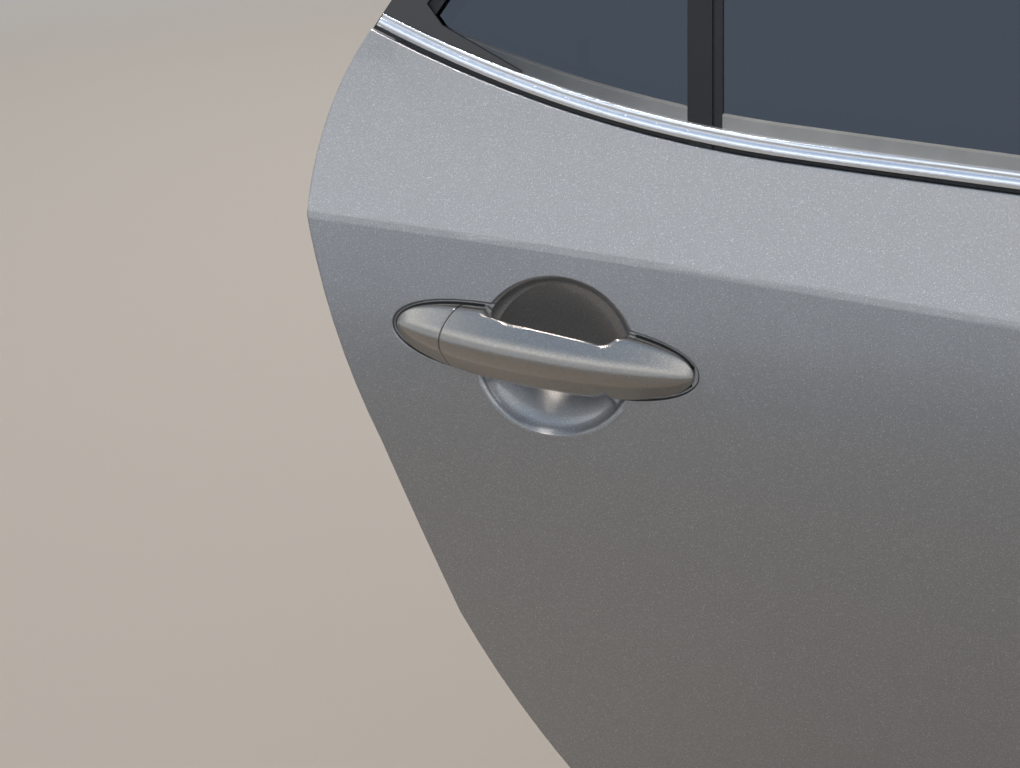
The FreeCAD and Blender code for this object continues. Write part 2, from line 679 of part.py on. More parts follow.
def cover_tail():
    """Wedge of the corner cover that runs forward above the bright moulding."""
    rise = S.chrome_gap + S.chrome_height
    a, b, c = x_tail + 62.0, x_tail + 90.0, x_tail + S.tail_length
    return prism(rounded([(a, belt_z(a) + rise - 6, 0), (a, belt_z(a) + rise + 30, 0),
                          (b, belt_z(b) + rise + 10.0, 0), (c, belt_z(c) + rise + 1.5, 0),
                          (c, belt_z(c) + rise - 6, 0)]))


# The rear shut face at the latch: local X into the door, Y inboard, Z up the face
def edge_place(z):
    """Placement on the rear shut face at height z of the door's edge."""
    wire = OUTLINE
    probe = Part.LineSegment(flat(x_tail - 30, z), flat(x_tail + 200, z)).toShape()
    spot = wire.distToShape(probe)[1][0][0]
    above = Part.LineSegment(flat(x_tail - 30, z + 5), flat(x_tail + 200, z + 5)).toShape()
    higher = wire.distToShape(above)[1][0][0]
    run = higher - spot
    angle = math.degrees(math.atan2(run.x, run.z))
    turn = Rotation(Vector(0, 1, 0), angle)
    return Placement(spot + turn.multVec(Vector(S.wall_inset, 0, 0)), turn)


latch_at = edge_place(S.latch_z)


def at_latch(x, y, z, dx, dy, dz):
    box = Part.makeBox(dx, dy, dz, Vector(x, y, z))
    box.Placement = latch_at.multiply(box.Placement)
    return box


# Parametric pieces are bound to the spreadsheet
def q(text):
    """Expression text with every driving dimension looked up in the sheet."""
    words = sorted((alias for alias, _, _ in SIZES), key=len, reverse=True)
    for word in words:
        text = re.sub(rf"(?<![\w.]){word}(?!\w)", "Sizes." + word, text)
    return text


def bind(obj, **texts):
    for prop, text in texts.items():
        obj.setExpression(prop, q(str(text)))
    return obj


def place(obj, x, y, z):
    for axis, text in zip("xyz", (x, y, z)):
        obj.setExpression("Placement.Base." + axis, q(str(text)))
    return obj


def block(name, at, size):
    """Box with its low corner at (x, y, z), all as expressions."""
    box = doc.addObject("Part::Box", name)
    bind(box, Length=size[0], Width=size[1], Height=size[2])
    return place(box, *at)


def rod(name, at, radius, height, turn=None):
    """Upright cylinder, or one turned to another axis."""
    cyl = doc.addObject("Part::Cylinder", name)
    bind(cyl, Radius=radius, Height=height)
    if turn is not None:
        cyl.Placement = Placement(Vector(), turn)
    return place(cyl, *at)


def join(name, *parts):
    fused = doc.addObject("Part::MultiFuse", name)
    fused.Shapes = list(parts)
    return fused


def minus(name, base, *tools):
    cut = doc.addObject("Part::Cut", name)
    cut.Base = base
    cut.Tool = tools[0] if len(tools) == 1 else join(name + "_tools", *tools)
    return cut


def node(obj, label):
    obj.Label = label
    NODES.append(obj)
    return obj


FACING_Y = Rotation(Vector(1, 0, 0), -90)
FACING_X = Rotation(Vector(0, 1, 0), 90)
PIN_X = "-front_edge - pin_behind_edge"
ARM_RUN = "(front_edge + pin_behind_edge - 5)"
ARM_RISE = "(pin_y - leaf_thick / 2)"
ARM_REACH = f"sqrt({ARM_RUN} ^ 2 + {ARM_RISE} ^ 2)"
ARM_TURN = f"atan({ARM_RISE} / {ARM_RUN})"
WALL_X = "-front_edge - front_wall"


def pillar_leaf(label, z):
    """Plate on the pillar with two bolt holes, and the arm to its knuckle."""
    plate = block(label + "_plate", ("-leaf_width / 2", "-leaf_thick", f"{z} - leaf_height / 2"),
                  ("leaf_width", "leaf_thick", "leaf_height"))
    arm = block(label + "_arm", ("0", "0", "0"), (ARM_REACH, "arm_width", "2 * knuckle_half"))
    arm.Placement = Placement(Vector(), Rotation(Vector(0, 0, 1), 45))
    bind(arm, **{"Placement.Rotation.Angle": ARM_TURN})
    place(arm, f"{PIN_X} + arm_width / 2 * sin({ARM_TURN})", f"-pin_y - arm_width / 2 * cos({ARM_TURN})",
          f"{z} - knuckle_half")
    trim = block(label + "_flush", ("-60", "0", f"{z} - 50"), ("120", "60", "100"))
    knuckle = rod(label + "_knuckle", (PIN_X, "-pin_y", f"{z} - knuckle_half"),
                  "knuckle_radius", "2 * knuckle_half")
    bore = rod(label + "_bore", (PIN_X, "-pin_y", f"{z} - 40"), "pin_radius + pin_gap", "80")
    holes = [rod(f"{label}_hole_{i}", ("0", "-leaf_thick - 5", f"{z} + {way} * leaf_bolt_spacing / 2"),
                 "bolt_hole_radius", "leaf_thick + 10", FACING_Y) for i, way in enumerate((-1, 1))]
    body = join(label + "_body", plate, arm, knuckle)
    return node(minus(label + "_cut", body, bore, trim, *holes), label)


def door_leaf(label, z):
    """Plate on the door's front shut face, with an ear above and below the knuckle."""
    plate = block(label + "_plate", (WALL_X, "-pin_y - 14", f"{z} - door_leaf_height / 2"),
                  ("leaf_thick - 1", "door_leaf_width", "door_leaf_height"))
    parts = [plate]
    for i, low in enumerate((f"{z} + knuckle_half + ear_gap",
                             f"{z} - knuckle_half - ear_gap - ear_height")):
        ear = rod(f"{label}_ear_{i}", (PIN_X, "-pin_y", low), "knuckle_radius", "ear_height")
        arm = block(f"{label}_arm_{i}", (WALL_X, "-pin_y - knuckle_radius", low),
                    ("front_wall - pin_behind_edge", "2 * knuckle_radius", "ear_height"))
        parts += [ear, arm]
    bore = rod(label + "_bore", (PIN_X, "-pin_y", f"{z} - 40"), "pin_radius", "80")
    return node(minus(label + "_cut", join(label + "_body", *parts), bore), label)


def hinge_pins():
    """Both pins, each with a head above the upper ear."""
    parts = []
    for i, z in enumerate(("0", "-hinge_spacing")):
        half = "(knuckle_half + ear_gap + ear_height)"
        parts.append(rod(f"pin_{i}", (PIN_X, "-pin_y", f"{z} - {half} - 2"), "pin_radius", f"2 * {half} + 3"))
        parts.append(rod(f"pin_head_{i}", (PIN_X, "-pin_y", f"{z} + {half} + 0.3"), "pin_radius + 2.5", "3"))
    return node(join("pins", *parts), "hinge_pins")


def check_bracket():
    """Clevis on the pillar that carries the check arm's pin."""
    z = "-check_z"
    plate = block("clevis_plate", ("-check_x - 14", "-4", f"{z} - 26"), ("30", "4", "52"))
    parts = [plate]
    for i, low in enumerate((f"{z} + arm_height / 2 + 1", f"{z} - arm_height / 2 - 1 - 4")):
        parts.append(block(f"clevis_arm_{i}", ("-check_x - 8", "-check_y", low), ("16", "check_y", "4")))
        parts.append(rod(f"clevis_ear_{i}", ("-check_x", "-check_y", low), "8", "4"))
    pin = rod("clevis_pin", ("-check_x", "-check_y", f"{z} - arm_height / 2 - 7"),
              "check_pin_radius", "arm_height + 14")
    holes = [rod(f"clevis_hole_{i}", ("-check_x", "-10", f"{z} + {way} * 18"), "3.3", "20", FACING_Y)
             for i, way in enumerate((-1, 1))]
    return node(minus("clevis_cut", join("clevis", *parts, pin), *holes), "check_bracket")


def check_arm():
    """Flat bar from the clevis pin into the check box, with a stop at its end."""
    z = "-check_z - arm_height / 2"
    eye = rod("arm_eye", ("-check_x", "-check_y", z), "7.5", "arm_height")
    bar = block("arm_bar", ("-check_x - arm_length", "-check_y - arm_thick / 2", z),
                ("arm_length", "arm_thick", "arm_height"))
    stop = block("arm_stop", ("-check_x - arm_length", "-check_y - 6", f"{z} - 2"),
                 ("6", "12", "arm_height + 4"))
    bore = rod("arm_bore", ("-check_x", "-check_y", f"{z} - 10"), "check_pin_radius + pin_gap",
               "arm_height + 20")
    return node(minus("arm_cut", join("arm_body", eye, bar, stop), bore), "check_arm")


def check_box():
    """Housing behind the shut face that the check arm slides through."""
    x = "-front_edge - front_wall - panel_thick - 24"
    outer = block("check_outer", (x, "-check_y - arm_slot_low - 8", "-check_z - 20"),
                  ("24", "arm_slot_wide + 16", "40"))
    slot = block("check_slot", (f"{x} - 5", "-check_y - arm_slot_low", "-check_z - arm_height / 2 - fit_gap"),
                 ("40", "arm_slot_wide", "arm_height + 2 * fit_gap"))
    return node(minus("check_cut", outer, slot), "check_box")


# Outside handle in its local frame
def handle_body():
    """Whole handle before it is split: ridged sections along its length."""
    wires = []
    base = S.gasket_thick - S.pad_depth
    for s in (0.004, 0.03, 0.1, 0.22, 0.4, 0.6, 0.78, 0.9, 0.97, 0.996):
        half = grip_half_at(s)
        rise = max(1.2, grip_out_at(s) - base)
        soft = min(half, rise)
        swell = math.sin(math.pi * min(1.0, max(0.0, (s - 0.08) / 0.86))) ** 0.6
        turned = rounded([(-half, base, 0.0), (-half, base + (0.30 + 0.14 * swell) * rise, 0.22 * soft),
                          (S.ridge_place * half, base + rise, 0.75 * soft),
                          (half, base + (0.34 + 0.20 * swell) * rise, 0.22 * soft), (half, base, 0.0)])
        turned.Placement = Placement(Vector((s - 0.5) * S.grip_length, 0, 0), Rotation(Vector(0, 0, 1), 90))
        wires.append(turned)
    return Part.makeLoft(wires, True, False)


def seam_cylinder(radius):
    """Round front face of the cap, seen from outside."""
    mid = S.cap_length - S.grip_length / 2
    return Part.makeCylinder(radius, 200, Vector(mid + S.seam_radius, 0, -100))


def upper_scoop(u0, u1):
    """Cutter that hollows the strap's upper edge between the feet."""
    top = S.grip_half + 6.0
    floor = S.grip_half - S.scoop_depth
    a, b = u0 - 8.0, u1 + 4.0
    edges = [
        Part.LineSegment(Vector(a, top, 0), Vector(a, floor + 8.0, 0)).toShape(),
        Part.Arc(Vector(a, floor + 8.0, 0), Vector(a + 2.5, floor + 2.2, 0),
                 Vector(a + 9.0, floor, 0)).toShape(),
        Part.LineSegment(Vector(a + 9.0, floor, 0), Vector(b - 34.0, floor - 3.0, 0)).toShape(),
        Part.Arc(Vector(b - 34.0, floor - 3.0, 0), Vector(b - 17.0, floor - 1.2, 0),
                 Vector(b, S.grip_half + 0.5, 0)).toShape(),
        Part.LineSegment(Vector(b, S.grip_half + 0.5, 0), Vector(b, top, 0)).toShape(),
        Part.LineSegment(Vector(b, top, 0), Vector(a, top, 0)).toShape()]
    face = Part.Face(Part.Wire(edges))
    face.translate(Vector(0, 0, -S.pad_depth - 2.0))
    return face.extrude(Vector(0, 0, 96))


def handle_grip():
    """Grip with its strap bridging the recess, a lug on the hinge pin and a rear shank."""
    body = handle_body()
    rear = S.cap_length - S.grip_length / 2
    ahead = Part.makeBox(300, 200, 200, Vector(rear + S.seam_radius, -100, -100))
    grip = body.common(seam_cylinder(S.seam_radius - S.cap_seam).fuse(ahead))
    u0 = S.foot_rear - S.grip_length / 2
    u1 = S.foot_front - S.grip_length / 2
    rise = S.grip_out - S.strap_thick
    base = S.gasket_thick - S.pad_depth
    arch = Part.Wire([
        Part.LineSegment(Vector(u1, 0, base - 9), Vector(u0, 0, base - 9)).toShape(),
        Part.LineSegment(Vector(u0, 0, base - 9), Vector(u0, 0, base)).toShape(),
        Part.Arc(Vector(u0, 0, base), Vector(u0 + 4, 0, rise * 0.66),
                 Vector(u0 + 16, 0, rise * 0.96)).toShape(),
        Part.Arc(Vector(u0 + 16, 0, rise * 0.96), Vector((u0 + u1) / 2, 0, rise),
                 Vector(u1 - 20, 0, rise * 0.96)).toShape(),
        Part.Arc(Vector(u1 - 20, 0, rise * 0.96), Vector(u1 - 5, 0, rise * 0.66),
                 Vector(u1, 0, base)).toShape(),
        Part.LineSegment(Vector(u1, 0, base), Vector(u1, 0, base - 9)).toShape()])
    tunnel = Part.Face(arch).extrude(Vector(0, 200, 0))
    tunnel.translate(Vector(0, -100, 0))
    lip = Part.Face(Part.makePolygon([Vector(-100, -40, 3), Vector(-100, -6, 23), Vector(-100, -6, 60),
                                      Vector(-100, -40, 60), Vector(-100, -40, 3)]))
    tunnel = tunnel.cut(lip.extrude(Vector(200, 0, 0)))
    grip = grip.cut(tunnel).cut(upper_scoop(u0, u1))
    lug = Part.makeBox(7, S.lug_width, S.pivot_in + 6, Vector(PIVOT_U - 3.5, -S.lug_width / 2, -S.pivot_in))
    above = Part.makeBox(40, 80, 40, Vector(PIVOT_U - 20, -40, base + 0.4))
    lug = lug.cut(above).fuse(lug.common(body))
    toe = Part.makeBox(40, 80, 12, Vector(0, -40, -12))
    toe.Placement = Placement(Vector(PIVOT_U, 0, base), Rotation(Vector(0, 1, 0), -S.grip_travel - 1.0))
    grip = grip.cut(toe)
    eye = Part.makeCylinder(4.5, S.lug_width, Vector(PIVOT_U, -S.lug_width / 2, -S.pivot_in), Vector(0, 1, 0))
    bore = Part.makeCylinder(S.pivot_radius + S.pin_gap, 60, Vector(PIVOT_U, -30, -S.pivot_in),
                             Vector(0, 1, 0))
    shank = Part.makeBox(S.shank_length, S.shank_width, S.shank_reach,
                         Vector(SHANK_U, -S.shank_width / 2, base + 2 - S.shank_reach))
    return grip.fuse(lug).fuse(eye).fuse(shank).cut(bore)


PIVOT_U = S.grip_length / 2 - S.pivot_back
SHANK_U = S.foot_rear - S.grip_length / 2 - S.shank_length - 21.0


def skin_slots():
    """Openings in the handle's seat for the lug and the shank."""
    lug = Part.makeBox(10.5, S.lug_width + 3, 30, Vector(PIVOT_U - 5.0, -S.lug_width / 2 - 1.5, -20))
    shank = Part.makeBox(S.shank_length + 9, S.shank_width + 3, 30,
                         Vector(SHANK_U - 7.5, -S.shank_width / 2 - 1.5, -20))
    return lug.fuse(shank)


def handle_cap():
    body = handle_body()
    rear = S.cap_length - S.grip_length / 2
    behind = Part.makeBox(300, 200, 200, Vector(rear + S.seam_radius - 300, -100, -100))
    return body.common(behind).cut(seam_cylinder(S.seam_radius))


def gasket(low, high):
    """Rubber between a foot of the handle and its seat."""
    pad = spindle_prism(1.0, -S.pad_depth, -S.pad_depth + S.gasket_thick - S.fit_gap)
    room = Part.makeBox(high - low, 200, 40, Vector(low, -100, -20))
    ball = Part.makeCylinder(S.bowl_radius + 4.5, 40, Vector(S.bowl_forward, -S.bowl_drop, -20))
    tip = Part.makeBox(40, S.lug_width + 3, 20, Vector(PIVOT_U - 5.0, -S.lug_width / 2 - 1.5, -10))
    start = S.foot_rear - S.grip_length / 2 - 8.0
    corner = Part.makeBox(S.foot_front - S.foot_rear, 60, 40, Vector(start, S.grip_half - S.scoop_depth, -20))
    return pad.common(room).cut(corner).cut(ball).cut(skin_slots()).cut(tip)


def handle_bracket(front):
    """Bracket behind the skin, with the grip's hinge pin or the shank's guide."""
    back = -S.pad_depth - S.skin_thick
    if front:
        plate = Part.makeBox(34, 40, 3, Vector(PIVOT_U - 22, -20, back - 3))
        parts = [Part.makeBox(12, 4, 14, Vector(PIVOT_U - 6, way * (S.lug_width / 2 + 3) - 2, back - 14))
                 for way in (-1, 1)]
        pin = Part.makeCylinder(S.pivot_radius, S.lug_width + 12,
                                Vector(PIVOT_U, -S.lug_width / 2 - 6, -S.pivot_in), Vector(0, 1, 0))
        shape = plate.fuse(parts)
        return shape.cut(skin_slots()).fuse(pin)
    plate = Part.makeBox(40, 40, 3, Vector(SHANK_U - 22, -20, back - 3))
    guide = Part.makeBox(S.shank_length + 15, S.shank_width + 9, 20,
                         Vector(SHANK_U - 10.5, -S.shank_width / 2 - 4.5, back - 20))
    return plate.fuse(guide).cut(skin_slots()).cut(
        Part.makeBox(S.shank_length + 9, S.shank_width + 3, 60,
                     Vector(SHANK_U - 7.5, -S.shank_width / 2 - 1.5, -60)))


# Inside of the door: local X forward, Y inboard, Z up the panel's flat face
panel_angle = math.degrees(math.atan2(S.inner_belt_y - S.inner_sill_y, S.belt_front - z_sill))
trim_at = Placement(Vector(0, S.inner_sill_y, z_sill), Rotation(Vector(1, 0, 0), -panel_angle))


def on_trim(shape):
    placed = shape.copy()
    placed.Placement = trim_at.multiply(placed.Placement)
    return placed


def trim_outline(points, near, far, draft=0.0):
    """Raised panel with rounded corners, smaller towards the cabin by draft."""
    wire = rounded(points)
    base = wire.copy()
    base.translate(Vector(0, near, 0))
    if draft <= 0:
        return Part.Face(base).extrude(Vector(0, far - near, 0))
    tip = wire.makeOffset2D(-draft, 0)
    tip.translate(Vector(0, far, 0))
    return Part.makeLoft([base, tip], True, True)


def trim_panel():
    """Moulded panel over the inner panel, with a ledge out to the glass at the belt."""
    spans = lambda x: [(z_sill - 10.0, belt_z(x) + 30.0)]
    slab = loft_between(stations(4), spans, (inner_y, S.fit_gap), (inner_y, S.trim_thick))
    edge = S.wall_inset + S.trim_margin
    body = slab.common(zone(edge)).common(below_belt(6.0))
    room = loft_between(stations(4), spans, (inner_y, -5.0), (inner_y, S.trim_thick - S.trim_wall))
    body = body.cut(room.common(zone(edge + S.trim_wall)).common(below_belt(6.0 - S.trim_wall)))
    ledge = loft_between(stations(4), spans, (glass_y, S.glass_thick + 7.2), (inner_y, S.trim_thick - 1.0))
    ledge = ledge.common(zone(S.frame_tube + S.fit_gap)).common(below_belt(6.0))
    bar = glass_part(0.0, 14.0 + S.fit_gap, bar_region(S.bar_width - 4.0 + 2 * S.fit_gap))
    return body.fuse(ledge.common(above_belt(6.0 - S.trim_wall))).cut(bar)


def panel_height(z, n=0.0):
    """Height along the panel's face for a height in the door's frame."""
    a = math.radians(panel_angle)
    return (z - z_sill + n * math.sin(a)) / math.cos(a)


def frame_of(x0, x1, h0, h1, r):
    """Corners of a rounded rectangle on the panel's face."""
    return [(x0, h0, r), (x1, h0, r), (x1, h1, r), (x0, h1, r)]


ARM_X = (x_front - 140.0, x_front - 140.0 - S.arm_rest_length)
ARM_H = (panel_height(S.arm_rest_z - S.arm_rest_height), panel_height(S.arm_rest_z))
FACE = S.trim_thick


def arm_rest():
    """Padded arm rest with a cup to pull the door shut."""
    body = trim_outline(frame_of(ARM_X[1], ARM_X[0], *ARM_H, 24.0), FACE, FACE + S.arm_rest_out)
    front = max(body.Faces, key=lambda f: f.CenterOfMass.y)
    body = body.makeFillet(9.0, front.Edges)
    cup = Part.makeBox(S.cup_length, S.cup_width, S.cup_depth + 10,
                       Vector(cup_x() - S.cup_length / 2, FACE + 12.0, ARM_H[1] - S.cup_depth))
    return body.cut(cup.makeFillet(7.0, cup.Edges))


def trim_insert():
    """Padded cloth panel between the arm rest and the ledge."""
    low = ARM_H[1] + S.insert_gap
    high = low + S.insert_height
    front, rear = x_front - S.insert_front, x_tail + S.insert_rear
    return trim_outline([(rear, low, 26.0), (front, low, 26.0), (front, high, 26.0),
                         (rear - 48.0, high + 16.0, 26.0)], FACE, FACE + S.insert_thick)


def cup_x():
    return (ARM_X[0] + ARM_X[1]) / 2 + 40.0


def handle_dish():
    """Recessed bezel behind the inside lever."""
    mid_h = panel_height(S.lever_z)
    x1, x0 = x_front - 118.0, x_front - 118.0 - S.lever_length - 34.0
    rim = frame_of(x0, x1, mid_h - 30.0, mid_h + 30.0, 26.0)
    inner = frame_of(x0 + 6, x1 - 6, mid_h - 24.0, mid_h + 24.0, 20.0)
    flange = trim_outline(rim, FACE, FACE + 2.5)
    outer = Part.Face(rounded(inner))
    outer.translate(Vector(0, FACE - 14.0, 0))
    shell = outer.extrude(Vector(0, 14.0 + 2.5, 0))
    hollow_face = Part.Face(rounded(frame_of(x0 + 8, x1 - 8, mid_h - 22.0, mid_h + 22.0, 18.0)))
    hollow_face.translate(Vector(0, FACE - 12.0, 0))
    hollow = hollow_face.extrude(Vector(0, 30.0, 0))
    return flange.fuse(shell).cut(hollow), shell


def inside_lever():
    """Lever that opens the latch, hinged at its front end."""
    mid_h = panel_height(S.lever_z)
    x1 = x_front - 118.0 - 17.0
    x0 = x1 - S.lever_length
    face = Part.Face(Part.Wire([
        Part.LineSegment(Vector(x1, FACE - 12.0, 0), Vector(x1, FACE - 2.0, 0)).toShape(),
        Part.Arc(Vector(x1, FACE - 2.0, 0), Vector((x0 + x1) / 2, FACE + 3.0, 0),
                 Vector(x0, FACE - 2.0, 0)).toShape(),
        Part.LineSegment(Vector(x0, FACE - 2.0, 0), Vector(x0 + 4, FACE - 6.0, 0)).toShape(),
        Part.Arc(Vector(x0 + 4, FACE - 6.0, 0), Vector((x0 + x1) / 2, FACE - 2.5, 0),
                 Vector(x1 - 16, FACE - 7.0, 0)).toShape(),
        Part.LineSegment(Vector(x1 - 16, FACE - 7.0, 0), Vector(x1 - 16, FACE - 12.0, 0)).toShape(),
        Part.LineSegment(Vector(x1 - 16, FACE - 12.0, 0), Vector(x1, FACE - 12.0, 0)).toShape()]))
    face.translate(Vector(0, 0, mid_h - 11.0))
    return face.extrude(Vector(0, 0, 22.0))


def switch_plate():
    """Window switch in its plate on the arm rest."""
    x = ARM_X[0] - 70.0
    top = ARM_H[1]
    plate = Part.makeBox(62, 32, 2.5, Vector(x - 31, FACE + 12, top))
    plate = plate.makeFillet(2.0, [e for e in plate.Edges if abs(e.BoundBox.ZLength) > 2.0])
    rocker = Part.makeCylinder(14, 14, Vector(x, FACE + 21, top - 6.0), Vector(0, 1, 0))
    low = Part.makeBox(60, 60, 20, Vector(x - 30, FACE, top - 20))
    return plate.fuse(rocker.cut(low))


def map_pocket():
    """Open-topped pocket low on the panel."""
    x1, x0 = S.pocket_x * -1.0, -S.pocket_x - S.pocket_length
    h0 = panel_height(z_sill + 60.0)
    h1 = h0 + S.pocket_height
    shell = trim_outline(frame_of(x0, x1, h0, h1, 16.0), FACE, FACE + S.pocket_out)
    hollow = trim_outline(frame_of(x0 + S.trim_wall, x1 - S.trim_wall, h0 + S.trim_wall, h1 + 40.0, 13.0),
                          FACE, FACE + S.pocket_out - S.trim_wall)
    return shell.cut(hollow)


def speaker_grille():
    """Domed round grille with a rim."""
    x, h = x_front - 178.0, panel_height(S.speaker_z)
    disc = Part.makeCylinder(S.speaker_radius, 4.0, Vector(x, FACE, h), Vector(0, 1, 0))
    dome = Part.makeSphere(260.0, Vector(x, FACE + 8.0 - 260.0, h))
    inner = Part.makeCylinder(S.speaker_radius - 6.0, 9.0, Vector(x, FACE, h), Vector(0, 1, 0))
    return disc.fuse(dome.common(inner))


def lock_knob():
    """Lock button on the ledge under the quarter window."""
    x = x_tail + S.knob_ahead
    y = inner_y(x, belt_z(x)) + 4.0
    base = Part.makeCylinder(9.0, 10.0, Vector(x, y, belt_z(x)))
    stem = Part.makeCylinder(4.5, 30.0, Vector(x, y, belt_z(x)))
    return base.fuse(stem).cut(below_belt(6.0))


def shut_seal():
    """Bulb seal on the inner panel's face, round the trim."""
    spans = lambda x: [(z_sill - 14.0, belt_z(x) + 16.0)]
    near = S.wall_inset + S.seal_inset
    foot = loft_between(stations(3), spans, (inner_y, 0.0), (inner_y, 3.0))
    foot = foot.common(zone(near)).cut(zone(near + S.seal_thick))
    bulb = loft_between(stations(3), spans, (inner_y, 2.5), (inner_y, S.seal_out))
    bulb = bulb.common(zone(near + 1.5)).cut(zone(near + S.seal_thick - 1.5))
    return foot.fuse(bulb).common(below_belt(-S.panel_belt_gap))


def shut_face_discs(heights, radius, height, y):
    """Round rubber pieces on the rear shut face."""
    parts = []
    for z in heights:
        disc = Part.makeCylinder(radius, height, Vector(-height, y, 0), Vector(1, 0, 0))
        disc.Placement = edge_place(z).multiply(disc.Placement)
        parts.append(disc)
    return Part.makeCompound(parts)


# Every node of the door
skin_shape = outer_skin().cut(on_skin(skin_slots()))
keep("outer_skin", skin_shape)
mouth = at_latch(-6, 16, -S.striker_slot / 2, 6 + S.seal_inset - 1.0, 60, S.striker_slot)
arm_way = Part.makeBox(20, S.arm_slot_wide, S.arm_height + 6,
                       Vector(x_wall - 10, -S.check_y - S.arm_slot_low, -S.check_z - S.arm_height / 2 - 3))
keep("inner_panel", inner_panel().cut(mouth.fuse(arm_way)))
keep("window_frame", window_frame())
keep("glass_main", glass_pane(1))
keep("glass_quarter", glass_pane(-1))
keep("run_channel", run_channel().cut(skin_shape))
bar_shape = division_bar()
keep("division_bar", bar_shape)
foot = belt_strip(-S.frame_out - 0.1, -0.2, 0.2, S.chrome_gap + S.chrome_height - 0.5,
                  zone(S.frame_web + S.run_lip))
keep("belt_seal_foot", foot.cut(bar_region(S.bar_width)))
lip = belt_strip(-S.frame_out - 0.1, -0.2, S.chrome_gap + S.chrome_height - 0.4,
                 S.chrome_gap + S.chrome_height + S.belt_lip, zone(S.frame_web + S.run_lip))
keep("belt_seal_outer", lip.cut(bar_region(S.bar_width)))
inner_belt = belt_strip(S.glass_thick + 0.2, S.glass_thick + 6.0, -10.0, 8.0, zone(S.frame_tube + S.fit_gap))
keep("belt_seal_inner", inner_belt.cut(bar_region(S.bar_width)))
keep("belt_moulding", bright_strip())
keep("corner_cover", gloss_cover(x_tail - 20, x_tail + S.tail_length, 440, cover_tail()))
keep("pillar_cover", gloss_cover(x_wall - 25, 20, S.frame_rise - 45))
keep("trim_panel", trim_panel().cut(on_trim(handle_dish()[1])))
keep("arm_rest", on_trim(arm_rest()))
bezel, bezel_hole = handle_dish()
keep("lever_bezel", on_trim(bezel))
keep("inside_lever", on_trim(inside_lever()))
keep("window_switch", on_trim(switch_plate()))
keep("trim_insert", on_trim(trim_insert()))
keep("map_pocket", on_trim(map_pocket()))
keep("speaker_grille", on_trim(speaker_grille()))
keep("lock_knob", lock_knob())
keep("shut_seal", shut_seal())
keep("bump_stops", shut_face_discs((150.0, -10.0), 9.0, 9.0, 2.0))
latch_x = S.panel_thick + S.latch_back


def fork_disc(grow):
    """Latch fork as a disc, grown for its pocket."""
    disc = Part.makeCylinder(15 + grow, 5 + 2 * grow, Vector(latch_x + 7 - grow, 26, 13), Vector(1, 0, 0))
    disc.Placement = latch_at.multiply(disc.Placement)
    return disc


case = at_latch(latch_x, 4, -S.latch_length / 2, S.latch_depth, 42, S.latch_length)
keep("latch_case", case.cut(mouth).cut(fork_disc(S.fit_gap)))
keep("latch_fork", fork_disc(0.0).cut(at_latch(0, 16, -7, 30, 60, 14)))
keep("handle_grip", on_skin(handle_grip()))
keep("handle_cap", on_skin(handle_cap()))
keep("handle_gasket_front", on_skin(gasket(S.foot_front - S.grip_length / 2 - 6, 130)))
keep("handle_gasket_rear", on_skin(gasket(-130, S.foot_rear - S.grip_length / 2 + 6)))
keep("handle_bracket_front", on_skin(handle_bracket(True)))
keep("handle_bracket_rear", on_skin(handle_bracket(False)))
pillar_leaf("pillar_leaf_upper", "0")
pillar_leaf("pillar_leaf_lower", "-hinge_spacing")
door_leaf("door_leaf_upper", "0")
door_leaf("door_leaf_lower", "-hinge_spacing")
hinge_pins()
check_bracket()
check_arm()
check_box()

doc.recompute()
for obj in doc.Objects:
    if "Invalid" in obj.State or "Error" in obj.State:
        raise RuntimeError(f"{obj.Label} did not build")
os.makedirs("parts", exist_ok=True)
for item in NODES:
    if item.Shape.isNull() or not item.Shape.isValid():
        raise RuntimeError(f"{item.Label} has no valid shape")
    item.Shape.exportStep(os.path.join("parts", item.Label + ".step"))
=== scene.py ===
import json
import logging
import math
from dataclasses import dataclass
from enum import Enum

import bmesh
import bpy
from mathutils import Matrix, Vector
from mathutils.bvhtree import BVHTree


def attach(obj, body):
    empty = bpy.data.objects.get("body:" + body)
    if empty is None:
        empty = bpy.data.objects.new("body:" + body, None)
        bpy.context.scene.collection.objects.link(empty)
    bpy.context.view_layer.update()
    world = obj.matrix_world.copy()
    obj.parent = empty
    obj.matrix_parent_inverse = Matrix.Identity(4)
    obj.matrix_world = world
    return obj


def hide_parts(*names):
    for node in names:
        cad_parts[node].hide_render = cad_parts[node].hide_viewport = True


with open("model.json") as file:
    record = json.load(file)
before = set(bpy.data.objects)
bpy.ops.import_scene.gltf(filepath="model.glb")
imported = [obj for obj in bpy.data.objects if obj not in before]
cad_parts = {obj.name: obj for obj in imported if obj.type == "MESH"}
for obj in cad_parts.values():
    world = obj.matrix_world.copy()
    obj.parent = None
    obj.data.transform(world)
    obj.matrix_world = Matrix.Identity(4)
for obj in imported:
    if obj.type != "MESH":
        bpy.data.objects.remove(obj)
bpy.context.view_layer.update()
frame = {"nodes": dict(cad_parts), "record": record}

log = logging.getLogger("rear_door")

MM = 0.001
SENSOR_MM = 36.0
# Middle of the outside handle, and how far from it edges pass from crisp to soft, in metres.
HANDLE_CENTRE = (-0.685, -0.075, 0.105)
CRISP_ZONE = (0.105, 0.12)
# Bands that the wave texture lays over one unit at a scale of 1.
WAVES_PER_UNIT = 3.2


class Slot(Enum):
    """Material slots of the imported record."""

    BODY = "body_paint"
    BODY_INNER = "body_paint_inner"
    HANDLE = "handle_paint"
    BRIGHT = "bright_trim"
    GLOSS_BLACK = "gloss_black"
    SATIN_BLACK = "black_satin"
    GLASS = "tinted_glass"
    RUBBER = "rubber"
    WEATHERED = "weathered_rubber"
    TRIM = "trim_plastic"
    SOFT_TRIM = "trim_soft"
    STEEL = "zinc_steel"
    CARRIER = "dark_plastic"


